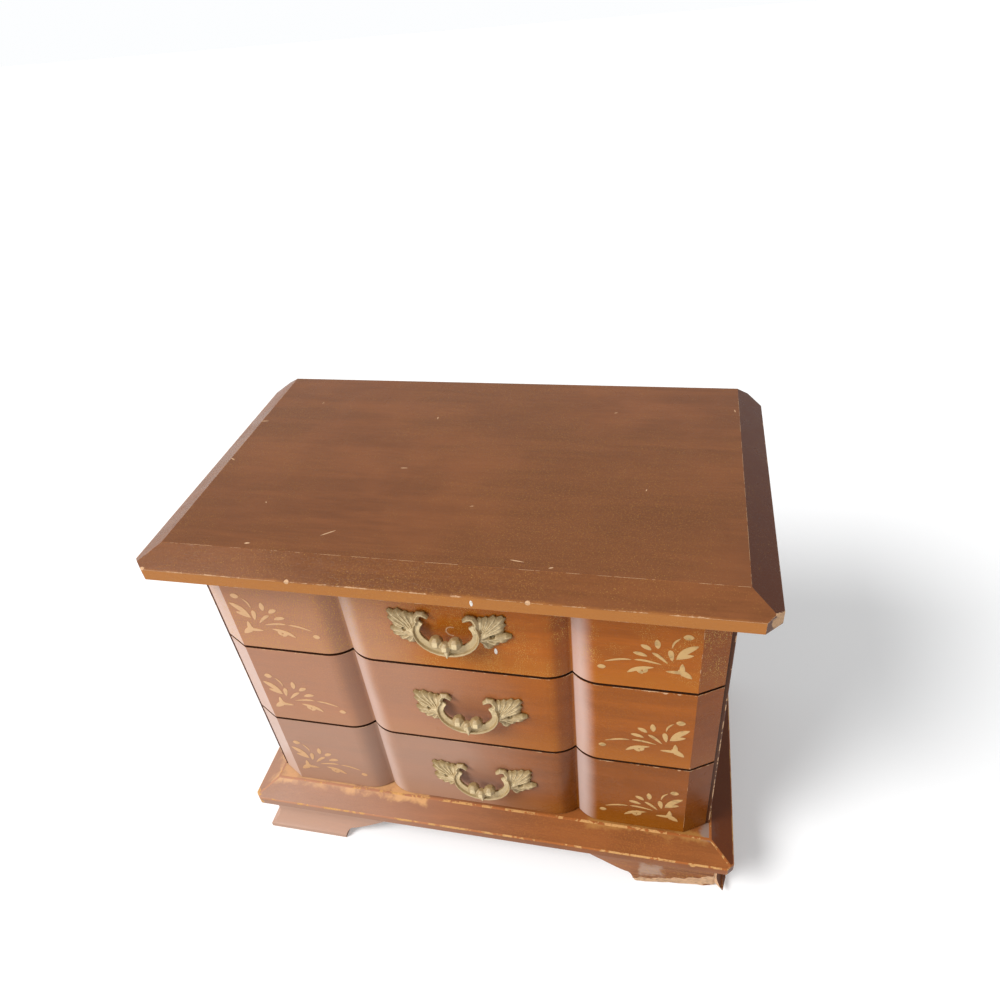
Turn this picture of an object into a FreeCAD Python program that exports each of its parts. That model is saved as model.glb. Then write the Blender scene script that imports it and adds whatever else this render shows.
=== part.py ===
import FreeCAD, Part
import math
import os
import re

import Sketcher
from FreeCAD import Placement, Rotation, Vector

# Musical jewelry box: a block-front chest with a hinged lid, a fixed top front, two drawers
# and a wind-up movement. X runs to the right, Y to the back, Z up, and Z = 0 is the floor.

# Driving dimensions in millimetres, each written once
SIZES = {
    # lid
    "lid_margin": 12.8,
    "lid_overhang": 24.4,
    "lid_band": 5.8,
    "lid_rise": 6.0,
    "lid_bevel": 11.9,
    "lid_clip": 6.5,
    "lid_gap": 0.3,
    # base
    "base_margin": 12.8,
    "base_overhang": 20.9,
    "base_band": 5.5,
    "base_rise": 5.5,
    "base_bevel": 12.2,
    "base_clip": 3.5,
    # feet
    "foot_height": 28.0,
    "toe_inset": 1.5,
    "neck_inset": 7.0,
    "cove_top": 12.0,
    "toe_edge": 2.8,
    "neck_thick": 8.0,
    "foot_run": 50.0,
    "arch_run": 25.5,
    "arch_high": 15.5,
    "arch_lift": 1.0,
    "heel_run": 5.0,
    "heel_high": 6.0,
    "block_side": 16.0,
    # case
    "case_width": 244.4,
    "case_depth": 133.1,
    "case_height": 174.2,
    "side_thick": 7.0,
    "back_thick": 8.0,
    "shelf_thick": 5.0,
    "dado_deep": 2.5,
    # block fronts
    "front_inset": 2.0,
    "top_more": 3.2,
    "front_gap": 1.6,
    "floor_gap": 0.6,
    "front_lip": 7.2,
    "front_tongue": 5.4,
    "lip_edge": 0.8,
    "groove_at": 53.3,
    "groove_deep": 5.6,
    "shoulder_run": 12.7,
    "end_run": 11.4,
    # drawers
    "drawer_clear": 0.6,
    "drawer_lift": 0.3,
    "drawer_side_thick": 5.0,
    "drawer_side_high": 42.0,
    "drawer_back_gap": 6.0,
    "bottom_thick": 2.5,
    "bottom_up": 4.0,
    "bottom_groove": 2.2,
    "lining_thick": 1.0,
    "lining_high": 30.0,
    # pulls
    "pull_holes": 40.6,
    "bail_radius": 15.6,
    "bail_lean": 0.235,
    "bail_wide": 5.2,
    "bail_thick": 2.2,
    "bud_radius": 3.1,
    "ball_radius": 2.7,
    "leaf_thick": 2.6,
    "leaf_eye": 2.6,
    "leaf_span": 8.9,
    "nail_seat": 1.0,
    "nail_radius": 0.65,
    "nail_head": 1.15,
    "nail_long": 9.0,
    "nail_slack": 0.05,
    "false_pull_up": 25.9,
    "false_pull_across": -0.2,
    "middle_pull_up": 27.1,
    "middle_pull_across": 3.0,
    "bottom_pull_up": 26.0,
    "bottom_pull_across": 3.8,
    # hinges
    "hinge_from_end": 38.2,
    "hinge_long": 32.0,
    "leaf_reach": 7.2,
    "plate_thick": 1.0,
    "barrel_radius": 2.1,
    "barrel_gap": 0.25,
    "pin_radius": 0.9,
    "pin_slack": 0.05,
    "knuckle_gap": 0.2,
    "screw_radius": 0.8,
    "screw_head": 1.6,
    "screw_long": 7.0,
    "screw_slack": 0.05,
    # lid inside
    "lid_lining_thick": 1.0,
    "lid_lining_clear": 2.0,
    "mirror_width": 116.0,
    "mirror_deep": 74.0,
    "mirror_thick": 2.0,
    "frame_wide": 9.0,
    "frame_thick": 3.4,
    "frame_lap": 3.0,
    "mirror_back": 30.0,
    "mirror_room": 3.5,
    # compartment
    "tray_high": 40.0,
    "cushion_long": 100.0,
    "cushion_ridge": 5.5,
    "cushion_base": 5.0,
    "cushion_clear": 0.3,
    "bay_width": 73.0,
    "bay_deep": 56.0,
    "cover_thick": 2.0,
    "cover_high": 43.0,
    "cover_clear": 0.3,
    # movement
    "bed_long": 64.5,
    "bed_deep": 44.0,
    "bed_thick": 2.4,
    "bed_margin": 4.0,
    "wall_thick": 2.4,
    "wheel_module": 0.9,
    "wheel_teeth": 33,
    "pinion_teeth": 12,
    "wheel_thick": 2.0,
    "wheel_lift": 1.0,
    "play": 0.4,
    "drum_radius": 12.4,
    "drum_long": 14.0,
    "drum_wall": 1.0,
    "arbor_radius": 2.0,
    "bearing_slack": 0.05,
    "cylinder_radius": 6.4,
    "cylinder_long": 25.0,
    "stub_radius": 1.2,
    "pin_proud": 0.7,
    "note_count": 18,
    "comb_thick": 1.0,
    "comb_gap": 0.35,
    "tooth_long": 11.0,
    "comb_heel": 9.0,
    "worm_teeth": 20,
    "worm_wheel_radius": 7.6,
    "worm_radius": 1.6,
    "worm_clear": 0.15,
    "fan_radius": 6.0,
    "fan_high": 7.0,
    "brake_radius": 3.6,
    "rod_radius": 0.8,
    "rod_gap": 0.3,
    "cock_thick": 1.6,
    "cock_wide": 7.5,
    "fly_pivot": 0.6,
    "wall_margin": 5.0,
    "bed_screw_radius": 1.2,
    "bed_screw_head": 2.3,
    "bed_screw_long": 6.4,
    "comb_screw_radius": 0.9,
    "comb_screw_head": 1.8,
    "comb_screw_long": 4.5,
    # key
    "key_reach": 17.0,
    "key_stem": 3.0,
    "key_hole": 3.4,
    "key_wing": 12.0,
    "key_wing_high": 7.0,
    "key_thick": 1.8,
}

# Places that follow from the sizes, each a formula of sizes and other places
PLACES = {
    "lid_width": "case_width + 2 * lid_margin",
    "lid_depth": "case_depth + lid_overhang",
    "base_width": "case_width + 2 * base_margin",
    "base_depth": "case_depth + base_overhang",
    "front_width": "case_width - 2 * front_inset",
    "front_high": "(case_height - floor_gap - 2 * front_gap - top_more) / 3",
    "back_plane": "(lid_depth - key_reach) / 2",
    "back_inner": "back_plane - back_thick",
    "base_top": "foot_height + base_band + base_rise",
    "rim": "base_top + case_height",
    "lid_under": "rim + lid_gap",
    "case_front": "back_plane - case_depth",
    "block_face": "case_front - front_lip",
    "tongue_back": "case_front + front_tongue",
    "outer_half": "case_width / 2",
    "inner_half": "outer_half - side_thick",
    "dado_half": "inner_half + dado_deep",
    "base_front": "back_plane - base_depth",
    # heights of the tiers
    "bottom_low": "base_top + floor_gap",
    "bottom_high": "bottom_low + front_high",
    "middle_low": "bottom_high + front_gap",
    "middle_high": "middle_low + front_high",
    "false_low": "middle_high + front_gap",
    "divider_low": "bottom_high + (front_gap - shelf_thick) / 2",
    "divider_top": "divider_low + shelf_thick",
    "floor_low": "middle_high + (front_gap - shelf_thick) / 2",
    "floor_top": "floor_low + shelf_thick",
    # drawers
    "drawer_half": "inner_half - drawer_clear",
    "drawer_inner": "drawer_half - drawer_side_thick",
    "drawer_rear": "back_inner - drawer_back_gap",
    "drawer_rear_inner": "drawer_rear - drawer_side_thick",
    # hinges
    "hinge_at": "outer_half - hinge_from_end",
    "hinge_y": "back_plane + barrel_radius + barrel_gap",
    "hinge_z": "rim + lid_gap / 2",
    # movement
    "bay_right": "-inner_half + bay_width",
    "bay_front": "back_inner - bay_deep",
    "bed_left": "-inner_half + bed_margin",
    "bed_rear": "back_inner - bed_margin",
    "bed_front": "bed_rear - bed_deep",
    "bed_top": "floor_top + bed_thick",
    "wheel_radius": "wheel_module * wheel_teeth / 2",
    "pinion_radius": "wheel_module * pinion_teeth / 2",
    "wheel_tip": "wheel_radius + 0.8 * wheel_module",
    "arbor_x": "bed_left + wheel_tip + 0.5",
    "arbor_z": "bed_top + wheel_tip + wheel_lift",
    "stub_x": "arbor_x + wheel_radius + pinion_radius",
    "wall_inner": "bed_rear - wall_thick",
    "wheel_rear": "wall_inner - play",
    "wheel_front": "wheel_rear - wheel_thick",
    "drum_front": "wheel_front - drum_long",
    "cylinder_rear": "wheel_front - play",
    "cylinder_front": "cylinder_rear - cylinder_long",
    "worm_wheel_front": "cylinder_front - wheel_thick",
    "plate_rear": "worm_wheel_front - play",
    "plate_front": "plate_rear - wall_thick",
    "worm_x": "stub_x + worm_wheel_radius + worm_clear + worm_radius",
    "worm_y": "cylinder_front - wheel_thick / 2",
    "fan_low": "arbor_z + worm_wheel_radius + 2",
    "fan_top": "fan_low + fan_high",
    "brake_top": "fan_top + 1.5",
    "comb_tip": "stub_x + cylinder_radius + pin_proud + comb_gap",
    "comb_root": "comb_tip + tooth_long",
    "rod_x": "worm_x - brake_radius + rod_radius + 0.2",
    "rod_y": "worm_y",
    "mirror_left": "rod_x + rod_radius + mirror_room + frame_wide - frame_lap",
    "mirror_right": "mirror_left + mirror_width",
}

WORD = re.compile(r"[a-z][a-z0-9_]*")


def formula(text):
    """Writes named places out in full and puts the sheet's name before each size."""

    def expand(match):
        word = match.group(0)
        if word in PLACES:
            return f"({formula(PLACES[word])})"
        if word in SIZES:
            return f"Sizes.{word}"
        return word

    return WORD.sub(expand, text)


def make_sheet(document):
    """Puts each driving dimension into its own cell with its name as alias."""
    table = document.addObject("Spreadsheet::Sheet", "Sizes")
    for row, (name, number) in enumerate(SIZES.items(), start=1):
        table.set(f"A{row}", name.replace("_", " "))
        table.set(f"B{row}", str(number))
        table.setAlias(f"B{row}", name)
    document.recompute()
    return table


doc = FreeCAD.newDocument("musical_jewelry_box")
sheet = make_sheet(doc)
pieces = []


def value(text):
    """The number that a formula of sizes gives."""
    return float(sheet.evalExpression(formula(text)))


def arc_between(start, end, radius, bend):
    """Arc from start to end; bend +1 puts its centre to the left of the way, -1 to the right."""
    chord = end - start
    half = chord.Length / 2
    sagitta_leg = math.sqrt(max(radius * radius - half * half, 0.0))
    left = Vector(-chord.y, chord.x, 0).normalize()
    centre = (start + end) / 2 + left * sagitta_leg * bend
    middle = centre - left * radius * bend
    return Part.Arc(start, middle, end)


class Piece:
    """One wooden or metal piece, built as a body of sketched pads and pockets."""

    def __init__(self, label):
        self.body = doc.addObject("PartDesign::Body", label)
        self.body.Label = label
        self.count = 0
        pieces.append(self.body)

    def feature(self, kind):
        self.count += 1
        return self.body.newObject(f"PartDesign::{kind}", f"{self.body.Name}_{kind}{self.count}")

    def sketch(self, plane, offset):
        """Empty sketch parallel to an origin plane, moved along that plane's own normal."""
        self.count += 1
        drawing = self.body.newObject("Sketcher::SketchObject", f"{self.body.Name}_Sketch{self.count}")
        origin_planes = self.body.Origin.OriginFeatures
        support = next(item for item in origin_planes if item.Role == f"{plane}_Plane")
        drawing.AttachmentSupport = [(support, "")]
        drawing.MapMode = "FlatFace"
        drawing.setExpression("AttachmentOffset.Base.z", formula(offset))
        return drawing

    def draw_outline(self, drawing, corners):
        """Closed outline; each corner is (x, y) or (x, y, radius, bend) for an arc to the next."""
        spots = [Vector(value(corner[0]), value(corner[1]), 0) for corner in corners]
        first = drawing.GeometryCount
        for index, corner in enumerate(corners):
            start = spots[index]
            end = spots[(index + 1) % len(corners)]
            if len(corner) == 2:
                drawing.addGeometry(Part.LineSegment(start, end), False)
            else:
                drawing.addGeometry(arc_between(start, end, value(corner[2]), corner[3]), False)
        for index, corner in enumerate(corners):
            # an arc drawn clockwise keeps its ends in the other order
            here = self.end_of(drawing, first + index, spots[index])
            before = first + (index - 1) % len(corners)
            there = self.end_of(drawing, before, spots[index])
            drawing.addConstraint(Sketcher.Constraint("Coincident", before, there, first + index, here))
            for kind, text, number in zip(("DistanceX", "DistanceY"), corner[:2], spots[index]):
                self.bind(drawing, Sketcher.Constraint(kind, -1, 1, first + index, here, number), text)
            if len(corner) == 4:
                radius = Sketcher.Constraint("Radius", first + index, value(corner[2]))
                self.bind(drawing, radius, corner[2])

    def end_of(self, drawing, index, spot):
        """1 or 2: which end of a drawn edge lies at the spot."""
        near = drawing.getPoint(index, 1).distanceToPoint(spot)
        far = drawing.getPoint(index, 2).distanceToPoint(spot)
        return 1 if near < far else 2

    def draw_circle(self, drawing, x, y, radius):
        index = drawing.GeometryCount
        spot = Vector(value(x), value(y), 0)
        drawing.addGeometry(Part.Circle(spot, Vector(0, 0, 1), value(radius)), False)
        self.bind(drawing, Sketcher.Constraint("DistanceX", -1, 1, index, 3, spot.x), x)
        self.bind(drawing, Sketcher.Constraint("DistanceY", -1, 1, index, 3, spot.y), y)
        self.bind(drawing, Sketcher.Constraint("Radius", index, value(radius)), radius)

    def bind(self, drawing, constraint, text):
        """Adds a dimension and ties it to the sheet."""
        index = drawing.addConstraint(constraint)
        drawing.setExpression(f"Constraints[{index}]", formula(text))

    def draw(self, drawing, shapes):
        """Draws outlines (lists of corners) and circles (x, y, radius) in one sketch."""
        for shape in shapes:
            if isinstance(shape, tuple):
                self.draw_circle(drawing, *shape)
            else:
                self.draw_outline(drawing, shape)

    def slab(self, plane, shapes, low, high):
        """Pad that fills the outlines from low to high along the plane's axis."""
        # the sketch on XZ looks along +Y, so its normal is -Y
        offset = f"-({high})" if plane == "XZ" else low
        drawing = self.sketch(plane, offset)
        self.draw(drawing, shapes)
        pad = self.feature("Pad")
        pad.Profile = drawing
        pad.setExpression("Length", formula(f"({high}) - ({low})"))
        return pad

    def cut(self, plane, shapes, low, high):
        """Pocket that empties the outlines from low to high along the plane's axis."""
        offset = f"-({low})" if plane == "XZ" else high
        drawing = self.sketch(plane, offset)
        self.draw(drawing, shapes)
        pocket = self.feature("Pocket")
        pocket.Profile = drawing
        pocket.setExpression("Length", formula(f"({high}) - ({low})"))
        return pocket


def rectangle(x_low, x_high, y_low, y_high):
    return [(x_low, y_low), (x_high, y_low), (x_high, y_high), (x_low, y_high)]


def board(label, x_low, x_high, y_low, y_high, z_low, z_high):
    """Flat rectangular board."""
    piece = Piece(label)
    piece.slab("XY", [rectangle(x_low, x_high, y_low, y_high)], z_low, z_high)
    return piece


def shaped(label, shape):
    """Free form made with Part's functions, under its own label."""
    item = doc.addObject("Part::Feature", label)
    item.Label = label
    item.Shape = shape
    pieces.append(item)
    return item


def bevelled_board(label, name, y_front, z_low):
    """Board with a bevel on the front and both ends and clipped corners; name picks its sizes."""
    piece = Piece(label)
    half = f"{name}_width / 2"
    bevel = f"{name}_bevel"
    clip = f"{name}_clip"
    band_top = f"{z_low} + {name}_band"
    top = f"{band_top} + {name}_rise"
    piece.slab("XY", [rectangle(f"-{half}", half, y_front, "back_plane")], z_low, top)
    for side in ("-", ""):
        outer = f"{side}({half})"
        slope = [(outer, band_top), (outer, top), (f"{side}({half} - {bevel})", top)]
        piece.cut("XZ", [slope], y_front, "back_plane")
    slope = [(y_front, band_top), (y_front, top), (f"{y_front} + {bevel}", top)]
    piece.cut("YZ", [slope], f"-{half}", half)
    corners = []
    for side in ("-", ""):
        outer = f"{side}({half})"
        inner = f"{side}({half} - {clip})"
        corners.append([(outer, y_front), (inner, y_front), (outer, f"{y_front} + {clip}")])
        corners.append([(outer, "back_plane"), (inner, "back_plane"), (outer, f"back_plane - {clip}")])
    piece.cut("XY", corners, z_low, top)
    return piece


# Block front: three flat blocks, two V grooves with rounded shoulders, canted ends

def block_outline():
    """Plan of the moulded front, from its left end round the face to its right end."""
    shoulder = "(shoulder_run * shoulder_run + groove_deep * groove_deep) / (2 * groove_deep)"
    half = "front_width / 2"
    cusp = "block_face + groove_deep"
    edge = "case_front - lip_edge"
    outline = [("-front_width / 2", "case_front"), ("-front_width / 2", edge)]
    outline.append((f"end_run - {half}", "block_face"))
    for side in ("-groove_at", "groove_at"):
        outline.append((f"{side} - shoulder_run", "block_face", shoulder, 1))
        outline.append((side, cusp, shoulder, 1))
        outline.append((f"{side} + shoulder_run", "block_face"))
    outline.append((f"{half} - end_run", "block_face"))
    outline.append((half, edge))
    outline.append((half, "case_front"))
    return outline


def nail_holes(piece, across, height, y_low, y_high):
    """Two holes for the pull's nails."""
    radius = "nail_radius + nail_slack"
    left = (f"{across} - pull_holes / 2", height, radius)
    right = (f"{across} + pull_holes / 2", height, radius)
    piece.cut("XZ", [left, right], y_low, y_high)


def false_front():
    """Fixed front of the top tier; it closes the compartment under the lid."""
    piece = Piece("false_drawer_front")
    piece.slab("XY", [block_outline()], "false_low", "rim")
    tongue = rectangle("-inner_half", "inner_half", "case_front", "tongue_back")
    piece.slab("XY", [tongue], "floor_top", "rim")
    height = "false_low + false_pull_up"
    nail_holes(piece, "false_pull_across", height, "block_face", "block_face + nail_long + 0.5")


def drawer(name, opening_low, opening_high):
    """Drawer of front, sides, back, bottom and lining; name picks its heights and pull."""
    front_low = f"{name}_low"
    z_low = f"{opening_low} + drawer_lift"
    z_high = f"{z_low} + drawer_side_high"
    groove_low = f"{z_low} + bottom_up"
    groove_high = f"{groove_low} + bottom_thick"
    front = Piece(f"{name}_drawer_front")
    front.slab("XY", [block_outline()], front_low, f"{front_low} + front_high")
    tongue = rectangle("-drawer_half", "drawer_half", "case_front", "tongue_back")
    front.slab("XY", [tongue], f"{opening_low} + drawer_clear", f"{opening_high} - drawer_clear")
    groove_half = "(drawer_inner + bottom_groove)"
    groove = rectangle(f"-{groove_half}", groove_half, groove_low, groove_high)
    front.cut("XZ", [groove], "tongue_back - bottom_groove", "tongue_back")
    pull_height = f"{front_low} + {name}_pull_up"
    nail_holes(front, f"{name}_pull_across", pull_height, "block_face", "block_face + nail_long + 0.5")
    slot = rectangle("tongue_back", "drawer_rear", groove_low, groove_high)
    left = f"{name}_drawer_left_side"
    wall = board(left, "-drawer_half", "-drawer_inner", "tongue_back", "drawer_rear", z_low, z_high)
    wall.cut("YZ", [slot], f"-{groove_half}", "-drawer_inner")
    right = f"{name}_drawer_right_side"
    wall = board(right, "drawer_inner", "drawer_half", "tongue_back", "drawer_rear", z_low, z_high)
    wall.cut("YZ", [slot], "drawer_inner", groove_half)
    label = f"{name}_drawer_back"
    back = board(label, "-drawer_inner", "drawer_inner", "drawer_rear_inner", "drawer_rear", z_low, z_high)
    slot = rectangle("-drawer_inner", "drawer_inner", groove_low, groove_high)
    back.cut("XZ", [slot], "drawer_rear_inner", "drawer_rear_inner + bottom_groove")
    board(
        f"{name}_drawer_bottom",
        f"-{groove_half}",
        groove_half,
        "tongue_back - bottom_groove",
        "drawer_rear_inner + bottom_groove",
        groove_low,
        groove_high,
    )
    lining = board(
        f"{name}_drawer_lining",
        "-drawer_inner",
        "drawer_inner",
        "tongue_back",
        "drawer_rear_inner",
        groove_high,
        f"{groove_high} + lining_high",
    )
    hollow = rectangle(
        "-(drawer_inner - lining_thick)",
        "drawer_inner - lining_thick",
        "tongue_back + lining_thick",
        "drawer_rear_inner - lining_thick",
    )
    lining.cut("XY", [hollow], f"{groove_high} + lining_thick", f"{groove_high} + lining_high")


# Case: sides with dadoes, back, shelf, compartment floor

def side_panel(side):
    sign = "-" if side == "left" else ""
    ends = [f"{sign}inner_half", f"{sign}outer_half"]
    groove = [f"{sign}inner_half", f"{sign}dado_half"]
    if side == "left":
        ends.reverse()
        groove.reverse()
    panel = Piece(f"{side}_side_panel")
    panel.slab("YZ", [rectangle("case_front", "back_plane", "base_top", "rim")], ends[0], ends[1])
    dadoes = [
        rectangle("case_front", "back_inner", "divider_low", "divider_top"),
        rectangle("case_front", "back_inner", "floor_low", "floor_top"),
    ]
    panel.cut("YZ", dadoes, groove[0], groove[1])
    panel.cut("YZ", [rectangle("back_inner", "back_plane", "base_top", "rim")], groove[0], groove[1])


def back_panel():
    panel = board("back_panel", "-dado_half", "dado_half", "back_inner", "back_plane", "base_top", "rim")
    panel.cut("XZ", [("arbor_x", "arbor_z", "key_hole")], "back_inner", "back_plane")
    for side in ("-", ""):
        middle = f"{side}hinge_at"
        panel.cut("XY", [hinge_mortise(middle)], "rim - plate_thick", "rim")
        spots = hinge_screw_spots(middle, "screw_radius + screw_slack")
        panel.cut("XY", spots, "rim - screw_long - 1", "rim")


def hinge_mortise(middle):
    """Outline of the recess for a hinge leaf in the rim or the lid."""
    half = "hinge_long / 2"
    return rectangle(f"{middle} - {half}", f"{middle} + {half}", "back_plane - leaf_reach", "back_plane")


def hinge_screw_spots(middle, radius):
    """Two screws in each leaf."""
    y = "back_plane - leaf_reach / 2"
    return [(f"{middle} - hinge_long / 3", y, radius), (f"{middle} + hinge_long / 3", y, radius)]


def shelves():
    span = ("-dado_half", "dado_half", "case_front", "back_inner")
    board("drawer_divider", *span, "divider_low", "divider_top")
    floor = board("compartment_floor", *span, "floor_low", "floor_top")
    floor.cut("XY", bed_screw_spots("bed_screw_radius + screw_slack"), "floor_low", "floor_top")


# Feet: a coved and flared bracket on the front and the sides, a flat one at the back

def bracket_section(edge, sign):
    """Upright section across a bracket; edge is the base's edge, sign points inwards."""
    deep = "(neck_inset - toe_inset)"
    high = "(cove_top - toe_edge)"
    radius = f"({deep} * {deep} + {high} * {high}) / (2 * {deep})"
    toe = f"{edge} {sign} toe_inset"
    neck = f"{edge} {sign} neck_inset"
    inner = f"{neck} {sign} neck_thick"
    bend = -1 if sign == "+" else 1
    return [
        (inner, "0"),
        (toe, "0"),
        (toe, "toe_edge", radius, -bend),
        (neck, "cove_top"),
        (neck, "foot_height"),
        (inner, "foot_height"),
    ]


def arch_cut(corner, sign):
    """Opening beside a foot: a tight heel, then a long shallow sweep; sign points along the run."""
    start = f"{corner} {sign} foot_run"
    far = f"{start} {sign} (arch_run + 1)"
    heel = "((heel_run * heel_run + (heel_high - arch_lift) * (heel_high - arch_lift)) / (2 * heel_run))"
    bend = -1 if sign == "+" else 1
    return [
        (start, "-1 * arch_lift"),
        (start, "arch_lift", heel, bend),
        (f"{start} {sign} heel_run", "heel_high", "1.75 * arch_run", -bend),
        (f"{start} {sign} arch_run", "arch_high"),
        (far, "arch_high"),
        (far, "-1 * arch_lift"),
    ]


def ordered(first, second, sign):
    return (first, second) if sign == "+" else (second, first)


def front_bracket(side):
    corner, sign = ("-base_width / 2", "+") if side == "left" else ("base_width / 2", "-")
    piece = Piece(f"front_{side}_foot_front_bracket")
    run = ordered(f"{corner} {sign} toe_inset", f"{corner} {sign} (foot_run + arch_run)", sign)
    piece.slab("YZ", [bracket_section("base_front", "+")], run[0], run[1])
    piece.cut("XZ", [arch_cut(corner, sign)], "base_front", "base_front + neck_inset + neck_thick + 1")
    mitre = [
        (corner, "base_front"),
        (f"{corner} {sign} 30", "base_front + 30"),
        (corner, "base_front + 30"),
    ]
    piece.cut("XY", [mitre], "-1 * toe_edge", "foot_height")


def side_bracket(end, side):
    edge, sign = ("-base_width / 2", "+") if side == "left" else ("base_width / 2", "-")
    piece = Piece(f"{end}_{side}_foot_side_bracket")
    if end == "front":
        corner, along = "base_front", "+"
        run = ("base_front + toe_inset", "base_front + foot_run + arch_run")
    else:
        corner, along = "back_plane", "-"
        run = ("back_plane - foot_run - arch_run", "back_plane - toe_inset")
    piece.slab("XZ", [bracket_section(edge, sign)], run[0], run[1])
    across = ordered(edge, f"{edge} {sign} (neck_inset + neck_thick + 1)", sign)
    piece.cut("YZ", [arch_cut(corner, along)], across[0], across[1])
    if end == "front":
        mitre = [
            (edge, "base_front"),
            (f"{edge} {sign} 30", "base_front + 30"),
            (f"{edge} {sign} 30", "base_front"),
        ]
        piece.cut("XY", [mitre], "-1 * toe_edge", "foot_height")


def back_bracket(side):
    """Flat bracket between the side brackets, set back from the rear."""
    corner, sign = ("-base_width / 2", "+") if side == "left" else ("base_width / 2", "-")
    piece = Piece(f"rear_{side}_foot_back_bracket")
    inner = f"{corner} {sign} (neck_inset + neck_thick)"
    run = ordered(inner, f"{corner} {sign} (foot_run + arch_run)", sign)
    flat = rectangle("back_plane - toe_inset - neck_thick", "back_plane - toe_inset", "0", "foot_height")
    piece.slab("YZ", [flat], run[0], run[1])
    piece.cut("XZ", [arch_cut(corner, sign)], "back_plane - toe_inset - neck_thick - 1", "back_plane")


def glue_blocks():
    """Four square blocks in the corners behind the brackets, a little short of the floor."""
    side = value("block_side")
    low = value("toe_edge")
    high = value("foot_height") - low
    half = value("base_width / 2 - neck_inset - neck_thick")
    front = value("base_front + neck_inset + neck_thick")
    rear = value("back_plane - toe_inset - neck_thick") - side
    blocks = []
    for y in (front, rear):
        blocks.append(Part.makeBox(side, side, high, Vector(-half, y, low)))
        blocks.append(Part.makeBox(side, side, high, Vector(half - side, y, low)))
    shaped("foot_glue_blocks", Part.makeCompound(blocks))


# Pulls: one-piece cast leaf pulls held by two nails

def faceted(rings):
    """Solid through rings of points, closed at both ends, every face flat."""
    faces = [Part.Face(Part.makePolygon(ring + ring[:1])) for ring in (rings[0], rings[-1])]
    for lower, upper in zip(rings, rings[1:]):
        for index in range(len(lower)):
            after = (index + 1) % len(lower)
            faces.append(triangle(lower[index], lower[after], upper[after]))
            faces.append(triangle(lower[index], upper[after], upper[index]))
    solid = Part.Solid(Part.Shell(faces))
    if solid.Volume < 0:
        solid.reverse()
    return solid


def triangle(first, second, third):
    return Part.Face(Part.makePolygon([first, second, third, first]))


def bent_bar(stations, section):
    """Bar through stations (x, z, half width, height); section holds (across, forwards) as shares."""
    front = Vector(0, -1, 0)
    rings = []
    for index, (x, z, half, high) in enumerate(stations):
        before = stations[max(index - 1, 0)]
        after = stations[min(index + 1, len(stations) - 1)]
        way = Vector(after[0] - before[0], 0, after[1] - before[1]).normalize()
        side = Vector(way.z, 0, -way.x) * half
        rings.append([Vector(x, 0, z) + side * across + front * (forwards * high) for across, forwards in section])
    return faceted(rings)


RIDGED = [(-1, 0), (-1, 0.42), (0, 1), (1, 0.42), (1, 0)]
RIMMED = [(1, 0), (1, 0.7), (0.85, 1.05), (0.6, 1.0), (0.35, 0.5), (-1, 0.68), (-1, 0)]


def flute(root, tip, width):
    """One ridged lobe of a leaf with a blunt end, low at its tip and high at the bail."""
    way = tip - root
    high = value("leaf_thick")
    stations = []
    for along, half, ridge in ((0.0, 0.12, 1.6), (0.45, 0.30, 1.05), (0.83, 0.50, 0.85), (1.0, 0.28, 0.45)):
        spot = root + way * along
        stations.append((spot.x, spot.z, width * half, high * ridge))
    return bent_bar(stations, RIDGED)


# Tips of the leaves' flutes beside the nails and the flutes' widths, as shares of the span;
# the two leaves were chased by hand and differ a little
RIGHT_FLUTES = [
    (-0.48, 1.17, 0.49),
    (-0.14, 1.24, 0.47),
    (0.26, 1.35, 0.48),
    (0.66, 1.36, 0.48),
    (0.65, 0.92, 0.50),
    (0.57, 0.54, 0.50),
    (0.97, 0.03, 0.52),
    (0.70, -0.28, 0.52),
    (0.26, -0.58, 0.58),
    (-0.20, -1.00, 0.58),
]
LEFT_FLUTES = [
    (-0.47, 1.08, 0.49),
    (-0.10, 1.14, 0.47),
    (0.30, 1.24, 0.50),
    (0.74, 1.16, 0.52),
    (0.79, 0.68, 0.50),
    (0.62, 0.26, 0.48),
    (0.80, -0.20, 0.48),
    (0.68, -0.54, 0.50),
    (0.34, -0.86, 0.52),
    (-0.08, -1.06, 0.56),
]


def leaf_shape(flutes):
    """Leaf as it lies on the right: flutes that fan out from the bail round the nail."""
    hole = value("pull_holes / 2")
    span = value("leaf_span")
    high = value("leaf_thick")
    way = Vector(0, -1, 0)
    root = Vector(hole - 0.64 * span, 0, -0.12 * span)
    parts = [flute(root, Vector(hole + x * span, 0, z * span), wide * span) for x, z, wide in flutes]
    eye = Part.makeCylinder(value("leaf_eye"), high * 0.6, Vector(hole, 0, 0), way)
    leaf = parts[0].fuse(parts[1:] + [eye])
    bore = Part.makeCylinder(value("nail_radius + nail_slack"), 4 * high, Vector(hole, 1, 0), way)
    seat = Vector(hole, -value("nail_seat"), 0)
    recess = Part.makeCylinder(value("nail_head + nail_slack"), 4 * high, seat, way)
    return leaf.cut([bore, recess])


def bead(radius, centre):
    """Eight-sided bead: a short belly between two blunt ends."""
    rings = []
    for across, high in ((0.5, -0.87), (1, -0.4), (1, 0.4), (0.5, 0.87)):
        ring = []
        for index in range(8):
            angle = math.radians(45 * index + 22.5)
            ring.append(centre + Vector(math.cos(angle) * across, math.sin(angle) * across, high) * radius)
        rings.append(ring)
    return faceted(rings)


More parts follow.
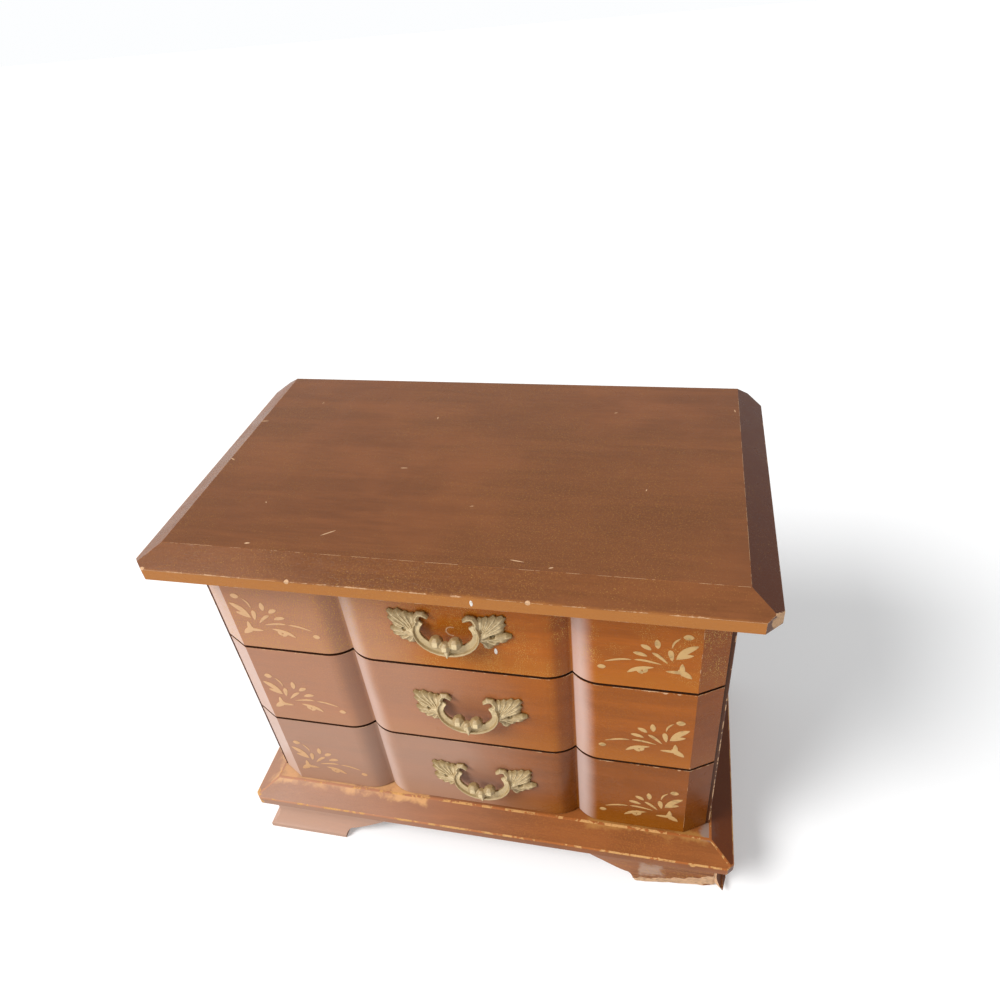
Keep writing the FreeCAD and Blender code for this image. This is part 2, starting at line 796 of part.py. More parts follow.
def crescent():
    """Lower part of the bail: an oval band, broad at the bottom, with a raised outer rim."""
    ring = value("bail_radius")
    wide = value("bail_wide")
    steps = 16
    open_angle = 32
    stations = []
    for step in range(steps + 1):
        angle = math.radians(-180 - open_angle + step * (180 + 2 * open_angle) / steps)
        share = 0.66 + 0.34 * max(0, -math.sin(angle))
        half = wide / 2 * share
        x = math.cos(angle) * (ring - half)
        z = math.sin(angle) * (ring * 0.75 - half) + ring * 0.045
        stations.append((x, z, half, value("bail_thick")))
    return bent_bar(stations, RIMMED)


def curl(side):
    """Blunt scroll that turns inwards from the end of the bail."""
    ring = value("bail_radius")
    thick = value("bail_thick")
    # along the scroll: x, z and half width as shares of the bail's radius
    spots = [(0.88, 0.26, 0.08), (0.88, 0.48, 0.10), (0.79, 0.62, 0.10), (0.65, 0.62, 0.10), (0.51, 0.52, 0.06)]
    return bent_bar([(side * x * ring, z * ring, half * ring, thick) for x, z, half in spots], RIDGED)


def pull_shape():
    """Two leaves joined by a leaning bail that carries two buds, a ball and a point."""
    ring = value("bail_radius")
    thick = value("bail_thick")
    bud = value("bud_radius")
    parts = [crescent(), curl(-1), curl(1)]
    for side in (-1, 1):
        parts.append(bead(bud, Vector(side * bud * 1.42, -thick, -ring * 0.19)))
    parts.append(bead(value("ball_radius"), Vector(0, -thick * 1.5, -ring * 0.29)))
    point = Vector(0, -thick, -ring * 0.34)
    parts.append(Part.makeCone(bud * 0.75, bud * 0.08, ring * 0.4, point, Vector(0, 0, -1)))
    bail = parts[0].fuse(parts[1:])
    bail.rotate(Vector(0, 0, ring * 0.8), Vector(1, 0, 0), -math.degrees(math.asin(value("bail_lean"))))
    left = leaf_shape(LEFT_FLUTES).mirror(Vector(0, 0, 0), Vector(1, 0, 0))
    return leaf_shape(RIGHT_FLUTES).fuse([left, bail]).removeSplitter()


def nails_shape():
    """Two nails in the pull's frame, their heads sunk in the leaves."""
    nails = []
    radius = value("nail_head")
    for side in (-1, 1):
        start = Vector(side * value("pull_holes / 2"), -value("nail_seat"), 0)
        shank = Part.makeCylinder(value("nail_radius"), value("nail_long + nail_seat"), start, Vector(0, 1, 0))
        head = Part.makeCone(radius, radius * 0.5, radius * 0.5, start, Vector(0, -1, 0))
        nails.append(shank.fuse(head))
    return Part.makeCompound(nails)


def pull(name, tier, shape, nails):
    for label, form in ((f"{name}_pull", shape), (f"{name}_pull_nails", nails)):
        item = shaped(label, form.copy())
        item.setExpression("Placement.Base.x", formula(f"{tier}_pull_across"))
        item.setExpression("Placement.Base.y", formula("block_face"))
        item.setExpression("Placement.Base.z", formula(f"{tier}_low + {tier}_pull_up"))


# Hinges: leaves let into the rim and the lid, knuckles outside the back

def knuckle_spans():
    """Three knuckles: the outer ones belong to the case, the middle one to the lid."""
    long = value("hinge_long")
    gap = value("knuckle_gap")
    pitch = long / 3
    return [(index * pitch + gap / 2 - long / 2, pitch - gap) for index in range(3)]


def hinge_leaf(label, middle, of_lid):
    x = value(middle)
    y = value("hinge_y")
    z = value("hinge_z")
    thick = value("plate_thick")
    back = value("back_plane")
    flat_low = value("lid_under") if of_lid else value("rim") - thick
    long = value("hinge_long")
    reach = value("leaf_reach")
    leaf = Part.makeBox(long, reach, thick, Vector(x - long / 2, back - reach, flat_low))
    bore = Part.makeCylinder(value("pin_radius + pin_slack"), long + 2, Vector(x - long / 2 - 1, y, z), Vector(1, 0, 0))
    for index, (start, span) in enumerate(knuckle_spans()):
        if (index % 2 == 1) != of_lid:
            continue
        knuckle = Part.makeCylinder(value("barrel_radius"), span, Vector(x + start, y, z), Vector(1, 0, 0))
        web = Part.makeBox(span, y - back, thick, Vector(x + start, back, flat_low))
        leaf = leaf.fuse([knuckle, web])
    leaf = leaf.cut(bore)
    for spot in hinge_screw_spots(middle, "screw_radius"):
        hole_x = value(spot[0])
        hole_y = value(spot[1])
        radius = value("screw_radius + screw_slack")
        head = value("screw_head + screw_slack")
        face = flat_low if of_lid else flat_low + thick
        way = Vector(0, 0, 1) if of_lid else Vector(0, 0, -1)
        cone = Part.makeCone(head, radius, thick, Vector(hole_x, hole_y, face), way)
        leaf = leaf.cut(cone)
    shaped(label, leaf.removeSplitter())


def hinge_screws(label, of_lid):
    """Countersunk screws of both hinges in one group."""
    screws = []
    thick = value("plate_thick")
    for middle in ("-hinge_at", "hinge_at"):
        for spot in hinge_screw_spots(middle, "screw_radius"):
            face = value("lid_under") if of_lid else value("rim")
            way = Vector(0, 0, 1) if of_lid else Vector(0, 0, -1)
            start = Vector(value(spot[0]), value(spot[1]), face)
            head = Part.makeCone(value("screw_head"), value("screw_radius"), thick, start, way)
            shank = Part.makeCylinder(value("screw_radius"), value("screw_long") - thick, start + way * thick, way)
            screws.append(head.fuse(shank).removeSplitter())
    shaped(label, Part.makeCompound(screws))


def hinge_pins():
    pins = []
    for middle in ("-hinge_at", "hinge_at"):
        start = Vector(value(f"{middle} - hinge_long / 2"), value("hinge_y"), value("hinge_z"))
        pins.append(Part.makeCylinder(value("pin_radius"), value("hinge_long"), start, Vector(1, 0, 0)))
    shaped("hinge_pins", Part.makeCompound(pins))


# Lid

def lid():
    piece = bevelled_board("lid_board", "lid", "back_plane - lid_depth", "lid_under")
    for side in ("-", ""):
        middle = f"{side}hinge_at"
        piece.cut("XY", [hinge_mortise(middle)], "lid_under", "lid_under + plate_thick")
        spots = hinge_screw_spots(middle, "screw_radius + screw_slack")
        piece.cut("XY", spots, "lid_under", "lid_under + screw_long + 1")
    lining_half = "inner_half - lid_lining_clear"
    board(
        "lid_lining",
        f"-({lining_half})",
        lining_half,
        "tongue_back + lid_lining_clear",
        "back_inner - lid_lining_clear",
        "lid_under - lid_lining_thick",
        "lid_under",
    )
    mirror_rear = "back_plane - mirror_back"
    mirror_front = f"{mirror_rear} - mirror_deep"
    glass_top = "lid_under - lid_lining_thick"
    glass_low = f"{glass_top} - mirror_thick"
    board("mirror", "mirror_left", "mirror_right", mirror_front, mirror_rear, glass_low, glass_top)
    frame = board(
        "mirror_frame",
        "mirror_left - frame_wide + frame_lap",
        "mirror_right + frame_wide - frame_lap",
        f"{mirror_front} - frame_wide + frame_lap",
        f"{mirror_rear} + frame_wide - frame_lap",
        f"{glass_top} - frame_thick",
        glass_top,
    )
    window = rectangle(
        "mirror_left + frame_lap",
        "mirror_right - frame_lap",
        f"{mirror_front} + frame_lap",
        f"{mirror_rear} - frame_lap",
    )
    frame.cut("XY", [window], f"{glass_top} - frame_thick", glass_top)
    rebate = rectangle("mirror_left", "mirror_right", mirror_front, mirror_rear)
    frame.cut("XY", [rebate], f"{glass_top} - mirror_thick", glass_top)


# Compartment under the lid

def compartment():
    top = "floor_top + tray_high"
    tray = board("compartment_lining", "-inner_half", "inner_half", "tongue_back", "back_inner", "floor_top", top)
    half = "(inner_half - lining_thick)"
    hollow = rectangle(f"-{half}", half, "tongue_back + lining_thick", "back_inner - lining_thick")
    tray.cut("XY", [hollow], "floor_top + lining_thick", top)
    bay = rectangle("-inner_half", "bay_right", "bay_front", "back_inner")
    tray.cut("XY", [bay], "floor_top", top)
    cover = board(
        "movement_cover",
        "-inner_half + cover_clear",
        "bay_right - cover_clear",
        "bay_front + cover_clear",
        "back_inner - cover_clear",
        "floor_top",
        "floor_top + cover_high",
    )
    inside = rectangle(
        "-inner_half + cover_clear + cover_thick",
        "bay_right - cover_clear - cover_thick",
        "bay_front + cover_clear + cover_thick",
        "back_inner + 1",
    )
    cover.cut("XY", [inside], "floor_top", "floor_top + cover_high - cover_thick")
    rod_hole = ("rod_x", "rod_y", "rod_radius + cover_clear")
    cover.cut("XY", [rod_hole], "floor_top", "floor_top + cover_high")
    ring_cushion()


def ring_cushion():
    """Velvet pad with four rounded ridges that hold rings in the slots between them."""
    piece = Piece("ring_cushion")
    top = "floor_top + lining_thick + cushion_base"
    low = "floor_top + lining_thick + cushion_clear"
    front = "tongue_back + lining_thick + cushion_clear"
    outline = [(f"{front} + 8 * cushion_ridge", top), (f"{front} + 8 * cushion_ridge", low), (front, low)]
    for ridge in range(4):
        outline.append((f"{front} + {2 * ridge} * cushion_ridge", top, "cushion_ridge * 1.05", -1))
    right = "inner_half - lining_thick - cushion_clear"
    piece.slab("YZ", [outline], f"{right} - cushion_long", right)


# Wind-up movement on the compartment floor, its winding arbor through the back

def bed_screw_spots(radius):
    inset = "bed_screw_head + 0.6"
    return [
        (f"bed_left + bed_long - {inset}", f"bed_rear - {inset}", radius),
        (f"bed_left + {inset}", f"bed_front + {inset}", radius),
        (f"bed_left + bed_long - {inset}", f"bed_front + {inset}", radius),
    ]


def bedplate():
    """Cast plate with a bearing cheek at the rear and the front and the comb's rest."""
    piece = Piece("movement_bedplate")
    outline = rectangle("bed_left", "bed_left + bed_long", "bed_front", "bed_rear")
    piece.slab("XY", [outline], "floor_top", "bed_top")
    wall = rectangle("arbor_x - wall_margin", "stub_x + wall_margin", "bed_top", "arbor_z + wall_margin")
    piece.slab("XZ", [wall], "wall_inner", "bed_rear")
    piece.slab("XZ", [wall], "plate_front", "plate_rear")
    rest = rectangle("comb_root", "comb_root + comb_heel", "cylinder_front", "cylinder_rear")
    piece.slab("XY", [rest], "bed_top", "arbor_z - comb_thick / 2")
    bores = [
        ("arbor_x", "arbor_z", "arbor_radius + bearing_slack"),
        ("stub_x", "arbor_z", "stub_radius + bearing_slack"),
    ]
    piece.cut("XZ", bores, "plate_front", "bed_rear")
    piece.cut("XY", bed_screw_spots("bed_screw_radius + screw_slack"), "floor_top", "bed_top")
    piece.cut("XY", [("worm_x", "worm_y", "fly_pivot + bearing_slack")], "bed_top - 1.5", "bed_top")
    piece.cut("XY", comb_screw_spots("comb_screw_radius + screw_slack"), "arbor_z - 6", "arbor_z")


def gear_outline(module, teeth, centre_x, centre_z, y, phase):
    """Straight-flanked gear as a wire in a plane across Y; phase is the first tooth's angle."""
    pitch = module * teeth / 2
    tip = pitch + 0.8 * module
    root = pitch - 1.05 * module
    step = 2 * math.pi / teeth
    spots = []
    for tooth in range(teeth):
        middle = phase + tooth * step
        for radius, share in ((root, -0.30), (tip, -0.12), (tip, 0.12), (root, 0.30)):
            angle = middle + share * step
            spots.append(Vector(centre_x + radius * math.cos(angle), y, centre_z + radius * math.sin(angle)))
    spots.append(spots[0])
    return Part.Face(Part.makePolygon(spots))


def barrel():
    """Spring barrel with the great wheel, and the mainspring inside."""
    x = value("arbor_x")
    z = value("arbor_z")
    rear = value("wheel_rear")
    wheel_front = value("wheel_front")
    front = value("drum_front")
    way = Vector(0, -1, 0)
    wheel = gear_outline(value("wheel_module"), int(value("wheel_teeth")), x, z, wheel_front, 0)
    wheel = wheel.extrude(Vector(0, rear - wheel_front, 0))
    radius = value("drum_radius")
    wall = value("drum_wall")
    drum = Part.makeCylinder(radius, wheel_front - front, Vector(x, wheel_front, z), way)
    room = wheel_front - front - 2 * wall
    hollow = Part.makeCylinder(radius - wall, room, Vector(x, wheel_front - wall, z), way)
    bore = Part.makeCylinder(value("arbor_radius + bearing_slack"), 40, Vector(x, rear + 5, z), way)
    shaped("spring_barrel", wheel.fuse(drum).cut(hollow.fuse(bore)))
    shaped("mainspring", mainspring_shape(x, z, wheel_front - wall - 0.5, front + wall + 0.5))


def mainspring_shape(x, z, rear, front):
    """Flat strip wound in half turns about two centres, from the drum's wall inwards."""
    thick = 0.5
    turns = 4
    outer = value("drum_radius - drum_wall") - 0.3
    inner = value("arbor_radius") + 1.2
    drop = (outer - inner - thick) / (2 * turns)
    edges = []
    for side_radius in (0.0, thick):
        radius = outer - side_radius
        centre = 0.0
        line = []
        for half_turn in range(2 * turns):
            sign = 1 if half_turn % 2 == 0 else -1
            start = Vector(x + centre + sign * radius, front, z)
            middle = Vector(x + centre, front, z + sign * radius)
            end = Vector(x + centre - sign * radius, front, z)
            line.append(Part.Arc(start, middle, end).toShape())
            centre -= sign * drop
            radius -= drop
        edges.append(line)
    first, second = edges
    cap_outer = Part.makeLine(first[0].Vertexes[0].Point, second[0].Vertexes[0].Point)
    cap_inner = Part.makeLine(last_point(first[-1], first[-2]), last_point(second[-1], second[-2]))
    outline = Part.Wire(Part.__sortEdges__(first + [cap_inner] + second + [cap_outer]))
    return Part.Face(outline).extrude(Vector(0, rear - front, 0))


def last_point(edge, before):
    """The end of an arc that the arc before it doesn't touch."""
    joints = [vertex.Point for vertex in before.Vertexes]
    for vertex in edge.Vertexes:
        if all(vertex.Point.distanceToPoint(joint) > 1e-6 for joint in joints):
            return vertex.Point
    return edge.Vertexes[-1].Point


def winding():
    """Arbor through barrel and back panel, with a butterfly key on its end."""
    x = value("arbor_x")
    z = value("arbor_z")
    rear = value("back_plane") + 6.0
    front = value("plate_front")
    arbor = Part.makeCylinder(value("arbor_radius"), rear - front, Vector(x, rear, z), Vector(0, -1, 0))
    shaped("winding_arbor", arbor)
    key_front = value("back_plane") + 1.0
    reach = value("key_reach") - 1.0
    stem = Part.makeCylinder(value("key_stem"), 9.0, Vector(x, key_front, z), Vector(0, 1, 0))
    thick = value("key_thick")
    corner = Vector(x - value("key_wing - key_wing_high / 2"), key_front + 6.0, z - thick / 2)
    wing = Part.makeBox(value("2 * key_wing - key_wing_high"), reach - 6.0, thick, corner)
    ends = []
    holes = []
    for side in (-1, 1):
        across = x + side * value("key_wing - key_wing_high / 2")
        along = key_front + 6.0 + (reach - 6.0) / 2
        ends.append(Part.makeCylinder((reach - 6.0) / 2, thick, Vector(across, along, z - thick / 2)))
        holes.append(Part.makeCylinder(2.2, 10, Vector(across, along, z - 5)))
    key = stem.fuse([wing] + ends)
    bore = value("arbor_radius + bearing_slack")
    socket = Part.makeCylinder(bore, 5.0 + 0.05, Vector(x, key_front, z), Vector(0, 1, 0))
    shaped("winding_key", key.cut(holes + [socket]))


def music_cylinder():
    """Pinned cylinder with its arbor, the driving pinion and the governor's wheel."""
    x = value("stub_x")
    z = value("arbor_z")
    way = Vector(0, -1, 0)
    rear = value("cylinder_rear")
    long = value("cylinder_long")
    radius = value("cylinder_radius")
    teeth = int(value("pinion_teeth"))
    body = Part.makeCylinder(radius, long, Vector(x, rear, z), way)
    stub_start = Vector(x, value("bed_rear"), z)
    stub = Part.makeCylinder(value("stub_radius"), value("bed_rear - plate_front"), stub_start, way)
    pinion = gear_outline(value("wheel_module"), teeth, x, z, value("wheel_front"), math.pi / teeth)
    pinion = pinion.extrude(Vector(0, value("wheel_thick"), 0))
    hub_start = Vector(x, value("wheel_front"), z)
    hub = Part.makeCylinder(value("pinion_radius") * 0.6, value("play"), hub_start, way)
    worm_teeth = int(value("worm_teeth"))
    module = 2 * value("worm_wheel_radius") / (worm_teeth + 1.6)
    worm_wheel = gear_outline(module, worm_teeth, x, z, value("worm_wheel_front"), 0)
    worm_wheel = worm_wheel.extrude(Vector(0, value("wheel_thick"), 0))
    pins = []
    notes = int(value("note_count"))
    pitch = long / (notes + 1)
    for note in range(notes):
        for strike in range(1 + note % 2):
            angle = math.radians((note * 67 + strike * 131 + note * strike * 23) % 360)
            out = Vector(math.cos(angle), 0, math.sin(angle)) * (radius - 0.3)
            spot = Vector(x, rear - (note + 1) * pitch, z) + out
            pin = Part.makeBox(value("pin_proud") + 0.3, 0.5, 0.5, Vector(0, -0.25, -0.25))
            pin.Placement = Placement(spot, Rotation(Vector(0, 1, 0), -math.degrees(angle)))
            pins.append(pin)
    shaped("music_cylinder", body.fuse([stub, pinion, hub, worm_wheel] + pins))


def comb_screw_spots(radius):
    x = "comb_root + comb_heel / 2"
    quarter = "cylinder_long / 4"
    return [(x, f"cylinder_front + {quarter}", radius), (x, f"cylinder_rear - {quarter}", radius)]


def tone_comb():
    """Steel comb: one tooth for each note, longer in the bass, on a thick heel."""
    piece = Piece("tone_comb")
    low = "arbor_z - comb_thick / 2"
    high = "arbor_z + comb_thick / 2"
    heel = rectangle("comb_root", "comb_root + comb_heel", "cylinder_front", "cylinder_rear")
    piece.slab("XY", [heel], low, high)
    notes = int(value("note_count"))
    teeth = []
    for note in range(notes):
        middle = f"cylinder_rear - {note + 1} * cylinder_long / {notes + 1}"
        teeth.append(rectangle("comb_tip", "comb_root", f"{middle} - 0.45", f"{middle} + 0.45"))
    piece.slab("XY", teeth, low, high)
    piece.cut("XY", comb_screw_spots("comb_screw_radius + screw_slack"), low, high)


def screws_down(label, spots, name, top):
    """Group of cheese-headed screws driven down from a face; name picks their sizes."""
    radius = value(f"{name}_radius")
    head = value(f"{name}_head")
    long = value(f"{name}_long")
    screws = []
    for x, y, _ in spots:
        start = Vector(value(x), value(y), value(top))
        shank = Part.makeCylinder(radius, long, start, Vector(0, 0, -1))
        cheese = Part.makeCylinder(head, head * 0.6, start, Vector(0, 0, 1))
        slot = Part.makeBox(2 * head, 0.4, head, start + Vector(-head, -0.2, head * 0.3))
        screws.append(shank.fuse(cheese).cut(slot))
    shaped(label, Part.makeCompound(screws))


def governor():
    """Worm with its fan and brake disc, the cock that holds it and the stop rod above."""
    x = value("worm_x")
    y = value("worm_y")
    low = value("bed_top") - 1.2
    up = Vector(0, 0, 1)
    shaft_top = value("brake_top") + 1.4
    shaft = Part.makeCylinder(value("fly_pivot"), shaft_top - low, Vector(x, y, low), up)
    worm_high = 7.0
    worm_low = value("arbor_z") - worm_high / 2
    worm = Part.makeCylinder(value("worm_radius") - 0.5, worm_high, Vector(x, y, worm_low), up)
    rings = []
    for turn in range(4):
        centre = worm_low + (turn + 0.5) * worm_high / 4
        rings.append(Part.makeCylinder(value("worm_radius"), 0.5, Vector(x, y, centre - 0.25), up))
    fan = value("fan_radius")
    blade = Part.makeBox(2 * fan, 0.5, value("fan_high"), Vector(x - fan, y - 0.25, value("fan_low")))
    disc = Part.makeCylinder(value("brake_radius"), 0.8, Vector(x, y, value("brake_top") - 0.8), up)
    shaped("air_brake_fly", shaft.fuse([worm, blade, disc] + rings))
    cock()
    rod_low = value("brake_top + rod_gap")
    rod_high = value("lid_under - lid_lining_thick - rod_gap")
    spot = Vector(value("rod_x"), value("rod_y"), rod_low)
    shaped("stop_rod", Part.makeCylinder(value("rod_radius"), rod_high - rod_low, spot, up))


def cock():
    """Bent bracket from the bedplate to the fly's top pivot, with the stop rod's guide."""
    x = value("worm_x")
    y = value("worm_y")
    thick = value("cock_thick")
    wide = value("cock_wide")
    front = y - value("wall_margin") - wide / 6
    top = value("brake_top") + 0.8
    outer = x + value("fan_radius") + 0.8
    inner = value("rod_x") - 2 * value("rod_radius")
    foot_low = value("bed_top")
    post = Part.makeBox(thick, wide, top + thick - foot_low, Vector(outer, front, foot_low))
    arm = Part.makeBox(outer + thick - inner, wide, thick, Vector(inner, front, top))
    pivot = value("fly_pivot + bearing_slack")
    guide = value("rod_radius + bearing_slack")
    bores = [
        Part.makeCylinder(pivot, 3 * thick, Vector(x, y, top - thick)),
        Part.makeCylinder(guide, 3 * thick, Vector(value("rod_x"), value("rod_y"), top - thick)),
    ]
    shaped("governor_cock", post.fuse(arm).cut(bores).removeSplitter())


def build():
    bevelled_board("base_board", "base", "base_front", "foot_height")
    for side in ("left", "right"):
        front_bracket(side)
        side_bracket("front", side)
        side_bracket("rear", side)
        back_bracket(side)
        side_panel(side)
    glue_blocks()
    back_panel()
    shelves()
    false_front()
    drawer("middle", "divider_top", "floor_low")
    drawer("bottom", "base_top", "divider_low")
    shape = pull_shape()
    nails = nails_shape()
    pull("false_front", "false", shape, nails)
    pull("middle", "middle", shape, nails)
    pull("bottom", "bottom", shape, nails)
    lid()
    for side, middle in (("left", "-hinge_at"), ("right", "hinge_at")):
        hinge_leaf(f"{side}_hinge_case_leaf", middle, False)
        hinge_leaf(f"{side}_hinge_lid_leaf", middle, True)
    hinge_pins()
    hinge_screws("case_hinge_screws", False)
    hinge_screws("lid_hinge_screws", True)
    compartment()
    bedplate()
    barrel()
    winding()
    music_cylinder()
    tone_comb()
    comb_spots = comb_screw_spots("comb_screw_radius")
    screws_down("comb_screws", comb_spots, "comb_screw", "arbor_z + comb_thick / 2")
    screws_down("movement_screws", bed_screw_spots("bed_screw_radius"), "bed_screw", "bed_top")
    governor()


def check_and_write():
    """Stops on any failed feature or empty shape, then writes one file for each piece."""
    doc.recompute()
    for item in doc.Objects:
        if "Invalid" in item.State or "Error" in item.State:
            raise RuntimeError(f"{item.Label} failed: {item.getStatusString()}")
    os.makedirs("parts", exist_ok=True)
    for item in pieces:
        shape = item.Shape
        if shape.isNull() or not shape.isValid() or not shape.Solids:
            raise RuntimeError(f"{item.Label} has no valid solid")
        shape.exportStep(f"parts/{item.Label}.step")
        print(f"{item.Label}: {len(shape.Solids)} solid(s), {shape.Volume:.0f} mm3")


build()
check_and_write()
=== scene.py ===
import math

import bmesh
import bpy
from mathutils import Matrix, Vector

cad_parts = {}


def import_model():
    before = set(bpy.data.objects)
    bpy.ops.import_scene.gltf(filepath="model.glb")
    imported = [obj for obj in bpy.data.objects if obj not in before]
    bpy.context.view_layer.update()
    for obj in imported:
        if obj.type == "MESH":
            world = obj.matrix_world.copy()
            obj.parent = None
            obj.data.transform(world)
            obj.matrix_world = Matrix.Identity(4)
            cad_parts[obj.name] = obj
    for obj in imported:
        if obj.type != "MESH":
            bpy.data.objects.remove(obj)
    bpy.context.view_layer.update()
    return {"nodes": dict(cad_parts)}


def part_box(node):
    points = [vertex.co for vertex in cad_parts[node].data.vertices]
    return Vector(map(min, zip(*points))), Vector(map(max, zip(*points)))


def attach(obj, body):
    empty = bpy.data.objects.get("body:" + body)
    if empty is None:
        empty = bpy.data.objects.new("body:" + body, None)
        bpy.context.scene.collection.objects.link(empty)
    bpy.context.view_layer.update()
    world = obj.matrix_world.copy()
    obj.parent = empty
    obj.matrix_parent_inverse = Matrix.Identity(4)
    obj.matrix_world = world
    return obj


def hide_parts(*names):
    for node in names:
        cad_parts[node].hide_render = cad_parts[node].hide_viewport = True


bl_info = {
    "name": "Musical Jewelry Box",
    "version": (1, 0, 0),
    "blender": (4, 5, 0),
    "location": "3D View > Sidebar > Jewelry Box",
    "description": "Dresses the jewelry box: lacquered wood, gold sprigs, cast pulls, velvet and movement",
    "category": "Object",
}

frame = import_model()
MM = 0.001


# Sizes and colours that a user would change

def extent(name, about, metres):
    return bpy.props.FloatProperty(name=name, description=about, default=metres, unit="LENGTH")


def tint(name, about, rgb):
    return bpy.props.FloatVectorProperty(name=name, description=about, subtype="COLOR", size=3, default=rgb)


class BoxSizes(bpy.types.PropertyGroup):
    edge_round: extent("Edge rounding", "Width of the worn rounding along the wood's edges", 0.0007)
    gilt_thick: extent("Gilding", "Thickness of the painted sprigs", 0.00022)
    scratch_wide: extent("Scratch width", "Width of the scratches on the lid", 0.0006)
    torn: extent("Break", "Roughness of the broken foot", 0.0006)
    cast_grain: extent("Casting", "Fineness of the pulls' cast skin", 0.00026)


class BoxColours(bpy.types.PropertyGroup):
    lid: tint("Lid", "Stain of the lid", (0.188, 0.065, 0.022))
    front: tint("Fronts", "Stain of the block fronts", (0.330, 0.086, 0.006))
    base: tint("Base", "Stain of the base and feet", (0.255, 0.080, 0.020))
    side: tint("Sides", "Stain of the side panels", (0.080, 0.026, 0.010))
    inner: tint("Inner wood", "Unlacquered wood inside", (0.420, 0.250, 0.130))
    bare: tint("Bare wood", "Pale wood where the lacquer has chipped", (0.640, 0.390, 0.220))
    gilt: tint("Gilding", "Gold paint of the sprigs", (0.560, 0.345, 0.130))
    brass: tint("Brass", "Antique brass of the pulls", (0.680, 0.530, 0.300))
    velvet: tint("Velvet", "Pile of the linings", (0.230, 0.012, 0.022))


def sizes():
    return bpy.context.scene.box_sizes


def colours():
    return bpy.context.scene.box_colours


# Shader maths as expressions

# the Mix node's sockets for colours, which share their names with those for numbers
MIX_FIRST = 6
MIX_SECOND = 7
MIX_COLOUR = 2


class Wire:
    """One output of a material's nodes; sums and products of wires add Math nodes."""

    def __init__(self, finish, socket):
        self.finish = finish
        self.socket = socket

    def __add__(self, other):
        return self.finish.math("ADD", self, other)

    __radd__ = __add__

    def __sub__(self, other):
        return self.finish.math("SUBTRACT", self, other)

    def __rsub__(self, other):
        return self.finish.math("SUBTRACT", other, self)

    def __mul__(self, other):
        return self.finish.math("MULTIPLY", self, other)

    def __abs__(self):
        return self.finish.math("ABSOLUTE", self)


class Finish:
    """A material with one Principled shader and a few shorthands for its nodes."""

    def __init__(self, name):
        self.material = bpy.data.materials.new(name)
        self.material.use_nodes = True
        self.tree = self.material.node_tree
        self.tree.nodes.clear()
        self.shader = self.tree.nodes.new("ShaderNodeBsdfPrincipled")
        output = self.tree.nodes.new("ShaderNodeOutputMaterial")
        self.tree.links.new(self.shader.outputs["BSDF"], output.inputs["Surface"])
        self.place = self.add("ShaderNodeTexCoord").outputs["Object"]

    def add(self, kind, settings=None, inputs=None):
        """New node: its settings first, then the values or wires of its sockets."""
        node = self.tree.nodes.new(kind)
        for name, setting in (settings or {}).items():
            setattr(node, name, setting)
        for name, value in (inputs or {}).items():
            self.plug(node.inputs[name], value)
        return node

    def plug(self, socket, value):
        if isinstance(value, Wire):
            self.tree.links.new(value.socket, socket)
        elif isinstance(value, bpy.types.NodeSocket):
            self.tree.links.new(value, socket)
        else:
            socket.default_value = value

    def math(self, operation, *values):
        node = self.add("ShaderNodeMath", {"operation": operation}, dict(enumerate(values)))
        return Wire(self, node.outputs[0])

    def highest(self, *values):
        result = values[0]
        for value in values[1:]:
            result = self.math("MAXIMUM", result, value)
        return result

    def lowest(self, *values):
        result = values[0]
        for value in values[1:]:
            result = self.math("MINIMUM", result, value)
        return result

    def axes(self, place=None):
        """X, Y and Z of a place, in metres."""
        node = self.add("ShaderNodeSeparateXYZ", inputs={0: place or self.place})
        return [Wire(self, output) for output in node.outputs]

    def normals(self):
        """The surface normal's X, Y and Z in the object's own directions."""
        return self.axes(self.add("ShaderNodeTexCoord").outputs["Normal"])

    def distance(self, spot):
        """Distance from a spot of the part, in metres."""
        node = self.add("ShaderNodeVectorMath", {"operation": "DISTANCE"}, {0: self.place, 1: spot})
        return Wire(self, node.outputs["Value"])

    def stretched(self, scale, shift=(0, 0, 0)):
        """Object coordinates, scaled by axis and then shifted."""
        node = self.add("ShaderNodeMapping", inputs={"Vector": self.place, "Location": shift, "Scale": scale})
        return node.outputs["Vector"]

    def noise(self, place, scale, detail=4.0, rough=0.55, warp=0.0):
        inputs = {"Vector": place, "Scale": scale, "Detail": detail, "Roughness": rough, "Distortion": warp}
        return Wire(self, self.add("ShaderNodeTexNoise", inputs=inputs).outputs["Fac"])

    def step(self, value, low, high):
        """Smooth rise from 0 at low to 1 at high; it falls where low is above high."""
        flip = low > high
        node = self.add(
            "ShaderNodeMapRange",
            {"interpolation_type": "SMOOTHSTEP"},
            {
                "Value": value,
                "From Min": min(low, high),
                "From Max": max(low, high),
                "To Min": 1.0 if flip else 0.0,
                "To Max": 0.0 if flip else 1.0,
            },
        )
        return Wire(self, node.outputs["Result"])

    def blend(self, factor, first, second):
        """Colour mixed from first to second by the factor."""
        inputs = {0: factor, MIX_FIRST: colour(first), MIX_SECOND: colour(second)}
        return Wire(self, self.add("ShaderNodeMix", {"data_type": "RGBA"}, inputs).outputs[MIX_COLOUR])

    def set(self, **inputs):
        """Values or wires of the shader's own sockets; underscores stand for spaces."""
        for name, value in inputs.items():
            self.plug(self.shader.inputs[name.replace("_", " ")], value)

    def bump(self, height, depth):
        """Relief of the given depth in metres."""
        node = self.add("ShaderNodeBump", inputs={"Height": height, "Distance": depth, "Strength": 1.0})
        self.plug(self.shader.inputs["Normal"], node.outputs["Normal"])


def colour(value):
    """A colour with its alpha, or a wire as it is."""
    if isinstance(value, (Wire, bpy.types.NodeSocket)):
        return value
    return (*value[:3], 1.0)


